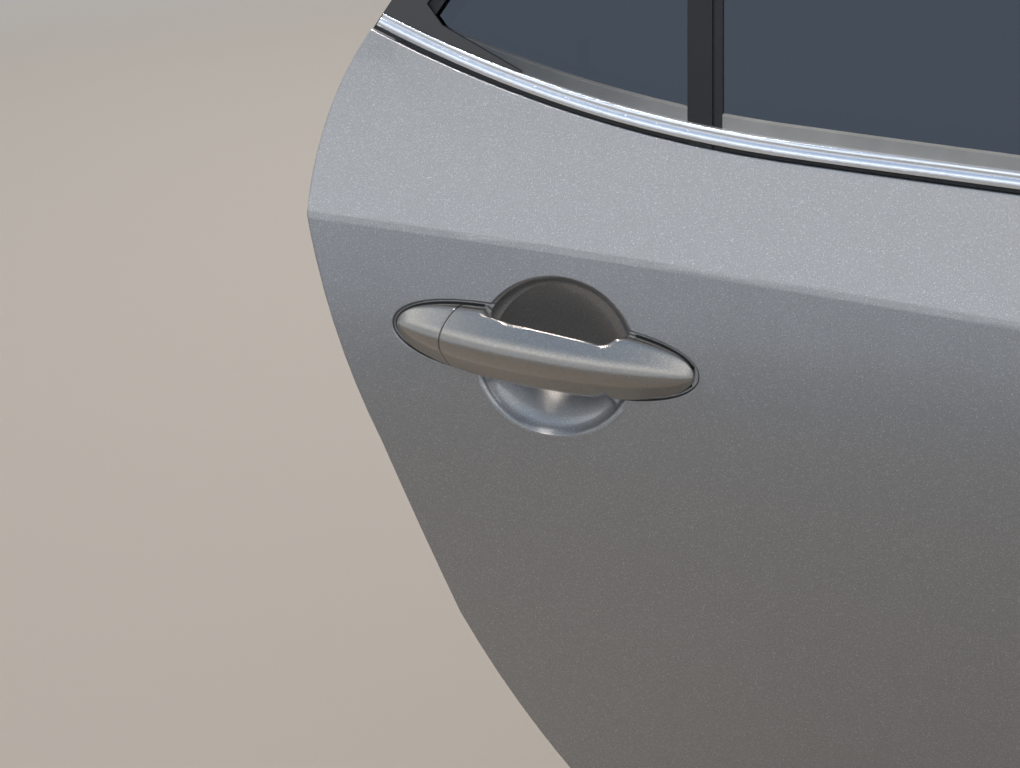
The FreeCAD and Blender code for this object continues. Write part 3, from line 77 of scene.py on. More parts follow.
def linear(hex_colour: str) -> tuple[float, float, float, float]:
    """Turn an sRGB hex colour into linear light.

    Args:
        hex_colour: Colour such as "#8a8c8c".

    Returns:
        Red, green, blue and an alpha of one.
    """
    channels = [int(hex_colour[i:i + 2], 16) / 255 for i in (1, 3, 5)]
    light = [c / 12.92 if c <= 0.04045 else ((c + 0.055) / 1.055) ** 2.4 for c in channels]
    return (*light, 1.0)


def add_node(tree: bpy.types.NodeTree, kind: str, settings: dict | None = None,
             links: dict | None = None) -> bpy.types.Node:
    """Add a shader node with its settings and the links into it.

    Args:
        tree: Node tree that gets the node.
        kind: Blender's name for the node type, without its ShaderNode prefix.
        settings: Node attributes or input sockets, by name.
        links: Output sockets to join to the node's inputs, by input name or index.

    Returns:
        The new node.
    """
    node = tree.nodes.new("ShaderNode" + kind)
    for name, value in (settings or {}).items():
        if isinstance(name, int) or name in node.inputs:
            node.inputs[name].default_value = value
        else:
            setattr(node, name, value)
    for name, socket in (links or {}).items():
        tree.links.new(socket, node.inputs[name])
    return node


def new_material(name: str) -> tuple[bpy.types.Material, bpy.types.NodeTree, bpy.types.NodeSocket]:
    """Start a node material.

    Args:
        name: Name of the finish.

    Returns:
        The material, its emptied tree and its Object coordinates.
    """
    material = bpy.data.materials.new(name)
    material.use_nodes = True
    tree = material.node_tree
    tree.nodes.clear()
    place = add_node(tree, "TexCoord").outputs["Object"]
    return material, tree, place


def spread(tree: bpy.types.NodeTree, value: bpy.types.NodeSocket, low: float, high: float,
           span: tuple[float, float] = (0.0, 1.0), smooth: bool = False) -> bpy.types.NodeSocket:
    """Map a span of values onto a range, whose ends hold beyond the span.

    Args:
        tree: Node tree that gets the node.
        value: Values to map.
        low: Result where the span begins.
        high: Result where the span ends.
        span: First and last value of the span.
        smooth: Whether the result eases in and out.

    Returns:
        The mapped values.
    """
    settings: dict[str, float | str] = {"From Min": span[0], "From Max": span[1],
                                        "To Min": low, "To Max": high}
    if smooth:
        settings["interpolation_type"] = "SMOOTHSTEP"
    return add_node(tree, "MapRange", settings, {"Value": value}).outputs[0]


def blend(tree: bpy.types.NodeTree, share: bpy.types.NodeSocket, low: str,
          high: str) -> bpy.types.NodeSocket:
    """Blend two hex colours.

    Args:
        tree: Node tree that gets the node.
        share: Share of the second colour.
        low: Colour at a share of zero.
        high: Colour at a share of one.

    Returns:
        The blended colour.
    """
    mix = add_node(tree, "Mix", {"data_type": "RGBA", 6: linear(low), 7: linear(high)}, {0: share})
    return mix.outputs[2]


def noise(tree: bpy.types.NodeTree, place: bpy.types.NodeSocket, scale: float,
          detail: float) -> bpy.types.NodeSocket:
    """Lay cloudy noise over the coordinates.

    Args:
        tree: Node tree that gets the node.
        place: Coordinates.
        scale: Clouds to a unit.
        detail: Number of finer layers.

    Returns:
        Values from zero to one, most of them near a half.
    """
    return add_node(tree, "TexNoise", {"Scale": scale, "Detail": detail}, {"Vector": place}).outputs["Fac"]


def soft_edges(tree: bpy.types.NodeTree, place: bpy.types.NodeSocket, radius_mm: float,
               crisp_mm: float = 0.0) -> bpy.types.NodeSocket:
    """Round a solid's sharp edges in its shading, as pressing and moulding do.

    Args:
        tree: The material's tree.
        place: The material's Object coordinates.
        radius_mm: Radius of the edges.
        crisp_mm: Radius of the edges round the handle's recess, where it differs.

    Returns:
        The rounded normal.
    """
    bevel = add_node(tree, "Bevel", {"samples": 4, "Radius": radius_mm * MM})
    if crisp_mm:
        offset = add_node(tree, "VectorMath", {"operation": "DISTANCE", 1: HANDLE_CENTRE}, {0: place})
        radius = spread(tree, offset.outputs["Value"], crisp_mm * MM, radius_mm * MM, CRISP_ZONE)
        tree.links.new(radius, bevel.inputs["Radius"])
    return bevel.outputs[0]


def close_material(tree: bpy.types.NodeTree, shader: bpy.types.Node) -> None:
    """Join a shader to the material's output.

    Args:
        tree: The material's tree.
        shader: Node whose first output is the finished shader.
    """
    add_node(tree, "OutputMaterial", links={"Surface": shader.outputs[0]})


@dataclass(frozen=True)
class FlakePaint:
    """Sprayed metallic car paint: aluminium flakes in a tinted base under clear lacquer, with painted glints on
    some flakes.
    """

    name: str
    base: str
    flake: str
    roughness: float
    flake_mm: float = 0.4
    flake_tilt: float = 0.03
    # Share of the flake colour in the dullest and the brightest flake, and its drift over the panel.
    tones: tuple[float, float] = (0.30, 0.66)
    drift: float = 0.05
    # Strength of a full painted glint, and the random numbers between which a flake comes to be painted near
    # white with it.
    painted_glint: float = 0.25
    painted_glint_span: tuple[float, float] = (0.94, 0.99)
    painted_glint_colour: str = "#f3f5f8"
    metallic: float = 0.85
    lacquer: float = 1.0
    lacquer_roughness: float = 0.03
    peel: float = 0.03
    edge_mm: float = 2.0
    crisp_mm: float = 0.6

    def build(self) -> bpy.types.Material:
        """Make the material.

        Returns:
            The finished material.
        """
        material, tree, place = new_material(self.name)
        # Real flakes are about 0.02 mm; they are drawn coarser so that their sparkle shows.
        cells = add_node(tree, "TexVoronoi", {"Scale": 1.0 / (self.flake_mm * MM)}, {"Vector": place})
        split = add_node(tree, "SeparateColor", links={0: cells.outputs["Color"]})
        cloud = noise(tree, place, 60.0, 3.0)
        tone = spread(tree, split.outputs[0], *self.tones)
        drift = spread(tree, cloud, -self.drift, self.drift)
        mixed = add_node(tree, "Math", {"operation": "ADD"}, {0: tone, 1: drift})
        colour = blend(tree, mixed.outputs[0], self.base, self.flake)
        # About one flake in twenty is painted near white, as a painted glint.
        painted_glint = spread(tree, split.outputs[1], 0.0, self.painted_glint, self.painted_glint_span)
        lit = add_node(tree, "Mix", {"data_type": "RGBA", 7: linear(self.painted_glint_colour)},
                       {0: painted_glint, 6: colour})
        lean = add_node(tree, "VectorMath", {"operation": "SUBTRACT", 1: (0.5, 0.5, 0.5)},
                        {0: cells.outputs["Color"]})
        tilt = add_node(tree, "VectorMath", {"operation": "SCALE", "Scale": 2.0 * self.flake_tilt},
                        {0: lean.outputs[0]})
        edges = soft_edges(tree, place, self.edge_mm, self.crisp_mm)
        turned = add_node(tree, "VectorMath", {"operation": "ADD"}, {0: edges, 1: tilt.outputs[0]})
        unit = add_node(tree, "VectorMath", {"operation": "NORMALIZE"}, {0: turned.outputs[0]})
        orange_peel = noise(tree, place, 240.0, 1.0)
        skin = add_node(tree, "Bump", {"Strength": self.peel, "Distance": 0.0006},
                        {"Height": orange_peel, "Normal": edges})
        shader = add_node(tree, "BsdfPrincipled", {
            "Metallic": self.metallic, "Roughness": self.roughness, "Coat Weight": self.lacquer,
            "Coat Roughness": self.lacquer_roughness, "Coat IOR": 1.5},
            {"Base Color": lit.outputs[2], "Normal": unit.outputs[0], "Coat Normal": skin.outputs[0]})
        close_material(tree, shader)
        return material


@dataclass(frozen=True)
class MouldedPlastic:
    """Injection-moulded plastic or rubber with a grained or matt skin.

    A rear_colour, if it is given, passes into the colour between the two places of fade_m, in metres along X.
    """

    name: str
    colour: str
    roughness: float
    grain_mm: float
    grain_depth: float
    specular: float = 0.5
    # Spread of the shade, and of the roughness, over the piece.
    mottling: float = 0.12
    rough_span: tuple[float, float] = (-0.05, 0.06)
    edge_mm: float = 0.6
    rear_colour: str = ""
    fade_m: tuple[float, float] = (-0.74, -0.58)

    def build(self) -> bpy.types.Material:
        """Make the material.

        Returns:
            The finished material.
        """
        material, tree, place = new_material(self.name)
        cells = add_node(tree, "TexVoronoi",
                         {"feature": "DISTANCE_TO_EDGE", "Scale": 1.0 / (self.grain_mm * MM)},
                         {"Vector": place})
        pebbles = spread(tree, cells.outputs["Distance"], 0.0, 1.0, (0.0, 0.25), smooth=True)
        grain = add_node(tree, "Bump", {"Strength": self.grain_depth, "Distance": 0.0003},
                         {"Height": pebbles, "Normal": soft_edges(tree, place, self.edge_mm)})
        cloud = noise(tree, place, 34.0, 4.0)
        shade = spread(tree, cloud, 1.0 - self.mottling, 1.0 + self.mottling)
        across = add_node(tree, "SeparateXYZ", links={0: place})
        ahead = spread(tree, across.outputs["X"], 0.0, 1.0, self.fade_m)
        hue = blend(tree, ahead, self.rear_colour or self.colour, self.colour)
        tint = add_node(tree, "VectorMath", {"operation": "SCALE"}, {0: hue, "Scale": shade})
        smoothest, roughest = self.rough_span
        rough = spread(tree, cloud, self.roughness + smoothest, self.roughness + roughest)
        shader = add_node(tree, "BsdfPrincipled", {"Specular IOR Level": self.specular},
                          {"Base Color": tint.outputs[0], "Roughness": rough, "Normal": grain.outputs[0]})
        close_material(tree, shader)
        return material


@dataclass(frozen=True)
class PlatedMetal:
    """Metal with a plated or polished skin: zinc on hinges, bright film on mouldings."""

    name: str
    colour: str
    roughness: float
    streak_mm: float
    streak: float
    edge_mm: float = 0.5
    metallic: float = 1.0

    def build(self) -> bpy.types.Material:
        """Make the material.

        Returns:
            The finished material.
        """
        material, tree, place = new_material(self.name)
        drawn = add_node(tree, "Mapping", {"Scale": (0.03, 1.0, 1.0)}, {"Vector": place})
        streaks = noise(tree, drawn.outputs[0], 1.0 / (self.streak_mm * MM), 4.0)
        rough = spread(tree, streaks, max(0.02, self.roughness - self.streak), self.roughness + self.streak)
        shader = add_node(tree, "BsdfPrincipled",
                          {"Base Color": linear(self.colour), "Metallic": self.metallic},
                          {"Roughness": rough, "Normal": soft_edges(tree, place, self.edge_mm)})
        close_material(tree, shader)
        return material


@dataclass(frozen=True)
class WovenCloth:
    """Flat-woven seat cloth of warp and weft threads, flecked and with a soft sheen."""

    name: str
    colour: str
    fleck: str
    thread_mm: float = 1.3
    # Noise between which the fleck colour comes in, and the painted shade between the threads and painted
    # highlight on them.
    fleck_span: tuple[float, float] = (0.48, 0.68)
    painted_thread_shades: tuple[float, float] = (0.62, 1.08)

    def build(self) -> bpy.types.Material:
        """Make the material.

        Returns:
            The finished material.
        """
        material, tree, place = new_material(self.name)
        scale = 1.0 / (self.thread_mm * MM * WAVES_PER_UNIT)
        warp, weft = [add_node(tree, "TexWave", {"bands_direction": way, "Scale": scale}, {"Vector": place})
                      for way in "XZ"]
        weave = add_node(tree, "Math", {"operation": "MAXIMUM"},
                         {0: warp.outputs["Fac"], 1: weft.outputs["Fac"]}).outputs[0]
        flecks = spread(tree, noise(tree, place, 420.0, 2.0), 0.0, 1.0, self.fleck_span)
        colour = blend(tree, flecks, self.colour, self.fleck)
        # Painted shade darkens the cloth between the threads, and a painted highlight lightens it a little on
        # top of them.
        shade = spread(tree, weave, *self.painted_thread_shades)
        shaded = add_node(tree, "VectorMath", {"operation": "SCALE"}, {0: colour, "Scale": shade})
        relief = add_node(tree, "Bump", {"Strength": 0.55, "Distance": 0.0004}, {"Height": weave})
        shader = add_node(tree, "BsdfPrincipled",
                          {"Roughness": 0.86, "Sheen Weight": 0.35, "Specular IOR Level": 0.25},
                          {"Base Color": shaded.outputs[0], "Normal": relief.outputs[0]})
        close_material(tree, shader)
        return material


@dataclass(frozen=True)
class TintedGlass:
    """Toughened side glass with a dark body tint and a cool reflection."""

    name: str
    tint: str
    reflection: str
    # Plain glass has 1.52; more makes the pane reflect as strongly as the photographed one.
    ior: float = 1.75

    def build(self) -> bpy.types.Material:
        """Make the material.

        Returns:
            The finished material.
        """
        material, tree, place = new_material(self.name)
        roller_waves = noise(tree, place, 4.0, 1.0)
        skin = add_node(tree, "Bump", {"Strength": 0.03, "Distance": 0.002}, {"Height": roller_waves})
        shader = add_node(tree, "BsdfPrincipled", {
            "Base Color": linear(self.tint), "Roughness": 0.01, "IOR": self.ior, "Transmission Weight": 1.0,
            "Specular IOR Level": 0.5, "Specular Tint": linear(self.reflection)}, {"Normal": skin.outputs[0]})
        close_material(tree, shader)
        return material


class Finishes:
    """Every finish of the door, made once and shared."""

    def __init__(self) -> None:
        """Build the finishes and keep them by slot."""
        recipes = {
            Slot.BODY: FlakePaint("grey_metallic_paint", "#7e7d7c", "#abaaaa", roughness=0.30, flake_mm=0.42,
                                  painted_glint=0.4, metallic=0.8),
            Slot.BODY_INNER: FlakePaint("grey_paint_shut_face", "#6f6f6e", "#9a9b9a", roughness=0.45,
                                        lacquer=0.5),
            Slot.HANDLE: FlakePaint("silver_paint_on_plastic", "#7b7670", "#aca69e", roughness=0.20,
                                    flake_mm=0.45, flake_tilt=0.035, edge_mm=2.4, crisp_mm=0.0),
            Slot.BRIGHT: PlatedMetal("bright_dipped_aluminium", "#e8eaed", roughness=0.13, streak_mm=1.2,
                                     streak=0.01, metallic=0.75),
            Slot.GLOSS_BLACK: MouldedPlastic("gloss_black_acrylic", "#06070a", roughness=0.10, grain_mm=0.8,
                                             grain_depth=0.0, specular=0.6),
            Slot.SATIN_BLACK: MouldedPlastic("satin_black_stoved_paint", "#0d0e10", roughness=0.34,
                                             grain_mm=0.5, grain_depth=0.03, specular=0.35),
            Slot.GLASS: TintedGlass("dark_tinted_glass", "#171b1f", "#c4d4ea"),
            Slot.RUBBER: MouldedPlastic("matt_sealing_rubber", "#111214", roughness=0.60, grain_mm=0.5,
                                        grain_depth=0.10),
            Slot.WEATHERED: MouldedPlastic("sun_bleached_rubber", "#86847f", roughness=0.42, grain_mm=0.6,
                                           grain_depth=0.12, mottling=0.3, rear_colour="#3c3f41"),
            Slot.TRIM: MouldedPlastic("grained_polypropylene", "#3c3d3f", roughness=0.55, grain_mm=1.1,
                                      grain_depth=0.35),
            Slot.SOFT_TRIM: WovenCloth("woven_polyester_cloth", "#4b4c50", "#6a6c71"),
            Slot.STEEL: PlatedMetal("zinc_plated_steel", "#a8a59c", roughness=0.38, streak_mm=0.9,
                                    streak=0.08),
            Slot.CARRIER: MouldedPlastic("glass_filled_nylon", "#1c1d1e", roughness=0.48, grain_mm=0.7,
                                         grain_depth=0.2),
        }
        self.materials = {slot: recipe.build() for slot, recipe in recipes.items()}

    def dress(self, obj: bpy.types.Object, slot: Slot) -> None:
        """Give an object one finish.

        Args:
            obj: Object to dress.
            slot: Slot whose finish it takes.
        """
        obj.data.materials.clear()
        obj.data.materials.append(self.materials[slot])


@dataclass
class CadDressing:
    """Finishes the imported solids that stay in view."""

    finishes: Finishes

    def dress_all(self) -> None:
        """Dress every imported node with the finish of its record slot."""
        slots = {part["node"]: Slot(part["material_slot"]) for part in frame["record"]["subparts"]}
        for name, obj in frame["nodes"].items():
            self.finishes.dress(obj, slots[name])
            log.info("dressed %s as %s", name, slots[name].value)


class Probe:
    """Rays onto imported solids, so that new pieces sit on their real surfaces."""

    def __init__(self, *nodes: str) -> None:
        """Gather the solids.

        Args:
            nodes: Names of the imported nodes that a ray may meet.
        """
        shape = bmesh.new()
        for name in nodes:
            shape.from_mesh(frame["nodes"][name].data)
        self.tree = BVHTree.FromBMesh(shape)
        shape.free()

    def seat(self, start_mm: tuple[float, float, float], way: tuple[float, float, float],
             spin: float = 0.0) -> Matrix:
        """Find the place where a ray lands, with its Z out of the surface.

        Args:
            start_mm: Where the ray starts.
            way: Direction of the ray.
            spin: Turn about the surface's normal, in degrees.

        Returns:
            Place on the surface, in metres.
        """
        point, normal, _, _ = self.tree.ray_cast(Vector(start_mm) * MM, Vector(way).normalized())
        if point is None:
            raise ValueError(f"nothing is met from {start_mm}")
        turn = normal.to_track_quat("Z", "Y").to_matrix().to_4x4()
        return Matrix.Translation(point) @ turn @ Matrix.Rotation(math.radians(spin), 4, "Z")


def gather(one: bmesh.types.BMesh, places: list[Matrix]) -> bmesh.types.BMesh:
    """Copy a shape, drawn in millimetres, to each place.

    Args:
        one: Shape to copy; it is used up.
        places: Places in metres.

    Returns:
        All the copies as one shape in metres.
    """
    cast = bpy.data.meshes.new("cast")
    whole = bmesh.new()
    for place in places:
        copy = one.copy()
        copy.transform(place @ Matrix.Scale(MM, 4))
        copy.to_mesh(cast)
        copy.free()
        whole.from_mesh(cast)
    one.free()
    bpy.data.meshes.remove(cast)
    return whole


def spaced(ring: list[Vector], pitch: float) -> list[Matrix]:
    """Divide a closed run into even steps.

    Args:
        ring: Points of the run in order.
        pitch: Length of a step.

    Returns:
        A place at each step, with its X along the run.
    """
    places, left = [], 0.0
    for a, b in zip(ring, ring[1:] + ring[:1]):
        run = b - a
        while left <= run.length:
            turn = run.to_track_quat("X", "Z").to_matrix().to_4x4()
            places.append(Matrix.Translation(a + run.normalized() * left) @ turn)
            left += pitch
        left -= run.length
    return places


def turn_round(shape: bmesh.types.BMesh, run: list[tuple[float, float]], steps: int) -> None:
    """Turn an open line about the Z axis into a surface.

    Args:
        shape: Mesh that gets the surface.
        run: Radius and height of each point of the line.
        steps: Number of faces round the axis.
    """
    dots = [shape.verts.new((radius, 0, height)) for radius, height in run]
    edges = [shape.edges.new(pair) for pair in zip(dots, dots[1:])]
    bmesh.ops.spin(shape, geom=dots + edges, cent=(0, 0, 0), axis=(0, 0, 1), angle=math.tau, steps=steps,
                   use_merge=True)


def add_drum(shape: bmesh.types.BMesh, segments: int, low: float, high: float, height: float,
             foot: float = 0.0) -> None:
    """Add a closed drum about the Z axis.

    Args:
        shape: Mesh that gets the drum.
        segments: Number of its sides.
        low: Radius at its foot.
        high: Radius at its top.
        height: Height of the drum.
        foot: Level of its foot.
    """
    bmesh.ops.create_cone(shape, cap_ends=True, segments=segments, radius1=low, radius2=high, depth=height,
                          matrix=Matrix.Translation((0, 0, foot + height / 2)))


def add_to_scene(name: str, shape: bmesh.types.BMesh) -> bpy.types.Object:
    """Make a smooth-shaded object of a mesh.

    Args:
        name: Name of the object.
        shape: Mesh in metres; it is used up.

    Returns:
        The object, in the scene.
    """
    bmesh.ops.recalc_face_normals(shape, faces=shape.faces[:])
    mesh = bpy.data.meshes.new(name)
    shape.to_mesh(mesh)
    shape.free()
    mesh.shade_smooth()
    obj = bpy.data.objects.new(name, mesh)
    bpy.context.scene.collection.objects.link(obj)
    return obj


@dataclass
class Shop:
    """Turns finished meshes into pieces of the door."""

    finishes: Finishes
    sharp_degrees: float = 32.0

    def deliver(self, name: str, shape: bmesh.types.BMesh, slot: Slot, body: str = "door",
                replaces: tuple[str, ...] = ()) -> bpy.types.Object:
        """Make an object of a mesh, dress it and hang it on its body.

        Args:
            name: Name of the piece.
            shape: Mesh in metres; it is used up.
            slot: Slot whose finish the piece takes.
            body: Body that the piece rides on.
            replaces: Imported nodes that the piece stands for.

        Returns:
            The finished piece.
        """
        piece = add_to_scene(name, shape)
        piece.data.set_sharp_from_angle(angle=math.radians(self.sharp_degrees))
        self.finishes.dress(piece, slot)
        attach(piece, body)
        if replaces:
            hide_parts(*replaces)
        log.info("%s: %d faces", name, len(piece.data.polygons))
        return piece


@dataclass
class Hardware:
    """Bolts, screws and plugs on the shut faces, with sizes and places in millimetres.

    Each is set where a ray along X, from the front or the rear, meets its surface. Places are Y and Z, and
    turns are in degrees.
    """

    shop: Shop
    bolt_radius: float = 7.4
    bolt_height: float = 5.6
    flange_radius: float = 9.2
    flange_height: float = 1.8
    screw_radius: float = 6.0
    screw_height: float = 2.2
    socket_depth: float = 1.7
    plug_radius: float = 11.0
    plug_height: float = 2.0
    front: float = 60.0
    rear: float = -1000.0
    hinges: tuple[tuple[str, float], ...] = (("upper", 0.0), ("lower", -340.0))
    leaf_y: float = -11.5
    # Height over the hinge's middle, and the bolt's turn.
    leaf_bolts: tuple[tuple[float, float], ...] = ((17.0, 12.0), (-17.0, 40.0))
    check_bolts: tuple[tuple[float, float], ...] = ((-10.5, -149.0), (-10.5, -191.0))
    check_spin: float = 20.0
    # Place, and the screw's turn.
    latch_screws: tuple[tuple[float, float, float], ...] = ((7.0, 67.5, 70.0), (36.0, 91.0, 360.0),
                                                            (36.0, 44.0, 360.0))
    rear_plugs: tuple[tuple[float, float], ...] = ((22.0, -70.0), (22.0, -190.0))
    front_plugs: tuple[tuple[float, float], ...] = ((18.0, -85.0), (18.0, -260.0), (18.0, 120.0))

    def flange_bolt(self) -> bmesh.types.BMesh:
        """Hexagon bolt head with its flange and chamfer, in millimetres.

        Returns:
            The shape.
        """
        shape = bmesh.new()
        add_drum(shape, 36, self.flange_radius, self.flange_radius - 1.0, self.flange_height)
        add_drum(shape, 6, self.bolt_radius, self.bolt_radius, self.bolt_height, foot=1.0)
        rim = [e for e in shape.edges if min(v.co.z for v in e.verts) > self.bolt_height]
        bmesh.ops.bevel(shape, geom=rim, offset=0.9, segments=2, profile=0.5, affect="EDGES", material=-1)
        top = [f for f in shape.faces if f.normal.z > 0.9 and f.calc_center_median().z > self.bolt_height]
        bmesh.ops.inset_region(shape, faces=top, thickness=1.6, depth=-0.7)
        return shape

    def lobed_screw(self) -> bmesh.types.BMesh:
        """Flat screw head with a six-lobed socket, in millimetres.

        Returns:
            The shape.
        """
        shape = bmesh.new()
        add_drum(shape, 24, self.screw_radius, self.screw_radius - 0.9, self.screw_height)
        top = [f for f in shape.faces if f.normal.z > 0.9]
        bmesh.ops.inset_region(shape, faces=top, thickness=self.screw_radius * 0.42)
        socket = max((f for f in shape.faces if f.normal.z > 0.9), key=lambda f: len(f.verts))
        for i, corner in enumerate(sorted(socket.verts, key=lambda v: math.atan2(v.co.y, v.co.x))):
            if i % 4 > 1:
                corner.co.xy *= 0.74
        sunk = bmesh.ops.extrude_face_region(shape, geom=[socket])
        bmesh.ops.delete(shape, geom=[socket], context="FACES_ONLY")
        floor = [v for v in sunk["geom"] if isinstance(v, bmesh.types.BMVert)]
        bmesh.ops.translate(shape, verts=floor, vec=(0, 0, -self.socket_depth))
        return shape

    def rubber_plug(self) -> bmesh.types.BMesh:
        """Round blanking plug with a dished middle, in millimetres.

        Returns:
            The shape.
        """
        shape = bmesh.new()
        add_drum(shape, 40, self.plug_radius, self.plug_radius - 1.4, self.plug_height)
        for thickness, depth in ((2.2, -0.3), (1.0, -0.9)):
            top = max(shape.faces, key=lambda f: (round(f.normal.z, 2), f.calc_area()))
            bmesh.ops.inset_region(shape, faces=[top], thickness=thickness, depth=depth)
        return shape

    def build(self) -> None:
        """Set every fastener on its surface."""
        rearward, forward = (-1.0, 0.0, 0.0), (1.0, 0.0, 0.0)
        for name, level in self.hinges:
            leaf = Probe(f"door_leaf_{name}")
            places = [leaf.seat((self.front, self.leaf_y, level + rise), rearward, spin)
                      for rise, spin in self.leaf_bolts]
            self.shop.deliver(f"hinge_bolts_{name}", gather(self.flange_bolt(), places), Slot.STEEL)
        panel = Probe("inner_panel")
        ends = [panel.seat((self.front, y, z), rearward, self.check_spin) for y, z in self.check_bolts]
        self.shop.deliver("check_box_bolts", gather(self.flange_bolt(), ends), Slot.STEEL)
        screws = [panel.seat((self.rear, y, z), forward, spin) for y, z, spin in self.latch_screws]
        self.shop.deliver("latch_screws", gather(self.lobed_screw(), screws), Slot.STEEL)
        plugs = [panel.seat((self.rear, y, z), forward) for y, z in self.rear_plugs]
        plugs += [panel.seat((self.front, y, z), rearward) for y, z in self.front_plugs]
        self.shop.deliver("shut_face_plugs", gather(self.rubber_plug(), plugs), Slot.RUBBER)


@dataclass
class FingerRecess:
    """Round dish that the outer sheet is pressed to under the grip, between the grip's feet.

    It is drawn in millimetres in the handle's frame: along its length, up across it and out of the skin. Its
    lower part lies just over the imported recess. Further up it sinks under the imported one, which shows there.
    """

    shop: Shop
    origin: Vector = Vector((-696.5, -50.26, 110.5))
    along: Vector = Vector((0.99528, -0.06641, -0.07072))
    up: Vector = Vector((0.07942, 0.13917, 0.98708))
    middle: tuple[float, float] = (9.5, -3.5)
    # Where the level of the sheet round the recess is taken.
    rim_radius: float = 66.0
    sheet: float = 0.8
    spokes: int = 144
    ray_level: float = 40.0
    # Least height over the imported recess, and how far under it the dish is sunk.
    proud: float = 0.1
    sunk: float = 0.5
    # Sine of the angle below the handle's length where the dish begins to show, and its rise to a full dish.
    show_from: float = 0.30
    show_over: float = 0.22
    # Radius, and level against the rim.
    profile: tuple[tuple[float, float], ...] = (
        (61.8, -0.1), (60.7, -0.4), (59.5, -1.0), (58.0, -2.0), (55.0, -4.1), (51.0, -6.8), (46.6, -9.8),
        (41.4, -13.2), (35.4, -17.0), (28.8, -20.6), (21.4, -23.2), (13.0, -24.6), (5.0, -25.2))

    def spot(self, radius: float, angle: float, level: float) -> Vector:
        """Place of a point of the recess.

        Args:
            radius: Distance from the recess's middle.
            angle: Direction from the handle's length, in radians.
            level: Height out of the skin.

        Returns:
            The place in the door's frame, in millimetres.
        """
        ahead = self.middle[0] + radius * math.cos(angle)
        rise = self.middle[1] + radius * math.sin(angle)
        return self.origin + self.along * ahead + self.up * rise + self.along.cross(self.up) * level

    def depth(self, skin: BVHTree, radius: float, angle: float) -> float:
        """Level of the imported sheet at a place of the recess.

        Args:
            skin: Tree of the outer skin.
            radius: Distance from the recess's middle.
            angle: Direction from the handle's length, in radians.

        Returns:
            Level over the plane that touches the skin at the handle, in millimetres.
        """
        start = self.spot(radius, angle, self.ray_level) * MM
        point, _, _, _ = skin.ray_cast(start, -self.along.cross(self.up))
        return self.ray_level - (point - start).length / MM

    def spoke(self, skin: BVHTree, angle: float) -> list[tuple[float, float]]:
        """Section of the dish's front from its rim to its middle.

        Args:
            skin: Tree of the outer skin.
            angle: Direction of the section, in radians.

        Returns:
            Radius and level of each point.
        """
        share = min(1.0, max(0.0, (-math.sin(angle) - self.show_from) / self.show_over))
        share *= share * (3.0 - 2.0 * share)
        edge = self.depth(skin, self.rim_radius, angle)
        front = []
        for radius, level in self.profile:
            packed = self.depth(skin, radius, angle)
            dish = max(packed + self.proud, level + edge * (radius / self.rim_radius) ** 2)
            front.append((radius, (packed - self.sunk) * (1.0 - share) + dish * share))
        return front

    def build(self) -> None:
        """Draw the dish as a thin closed shell."""
        skin = Probe("outer_skin").tree
        shape = bmesh.new()
        fronts, backs = [], []
        for i in range(self.spokes):
            angle = math.tau * i / self.spokes
            front = self.spoke(skin, angle)
            for layer, under in ((fronts, 0.0), (backs, self.sheet)):
                layer.append([shape.verts.new(self.spot(r, angle, level - under) * MM) for r, level in front])
        for layer in (fronts, backs):
            for a, b in zip(layer, layer[1:] + layer[:1]):
                for k in range(len(self.profile) - 1):
                    shape.faces.new((a[k], a[k + 1], b[k + 1], b[k]))
            shape.faces.new([run[-1] for run in layer])
        for i in range(self.spokes):
            k = (i + 1) % self.spokes
            shape.faces.new((fronts[i][0], fronts[k][0], backs[k][0], backs[i][0]))
        self.shop.deliver("finger_recess", shape, Slot.BODY)


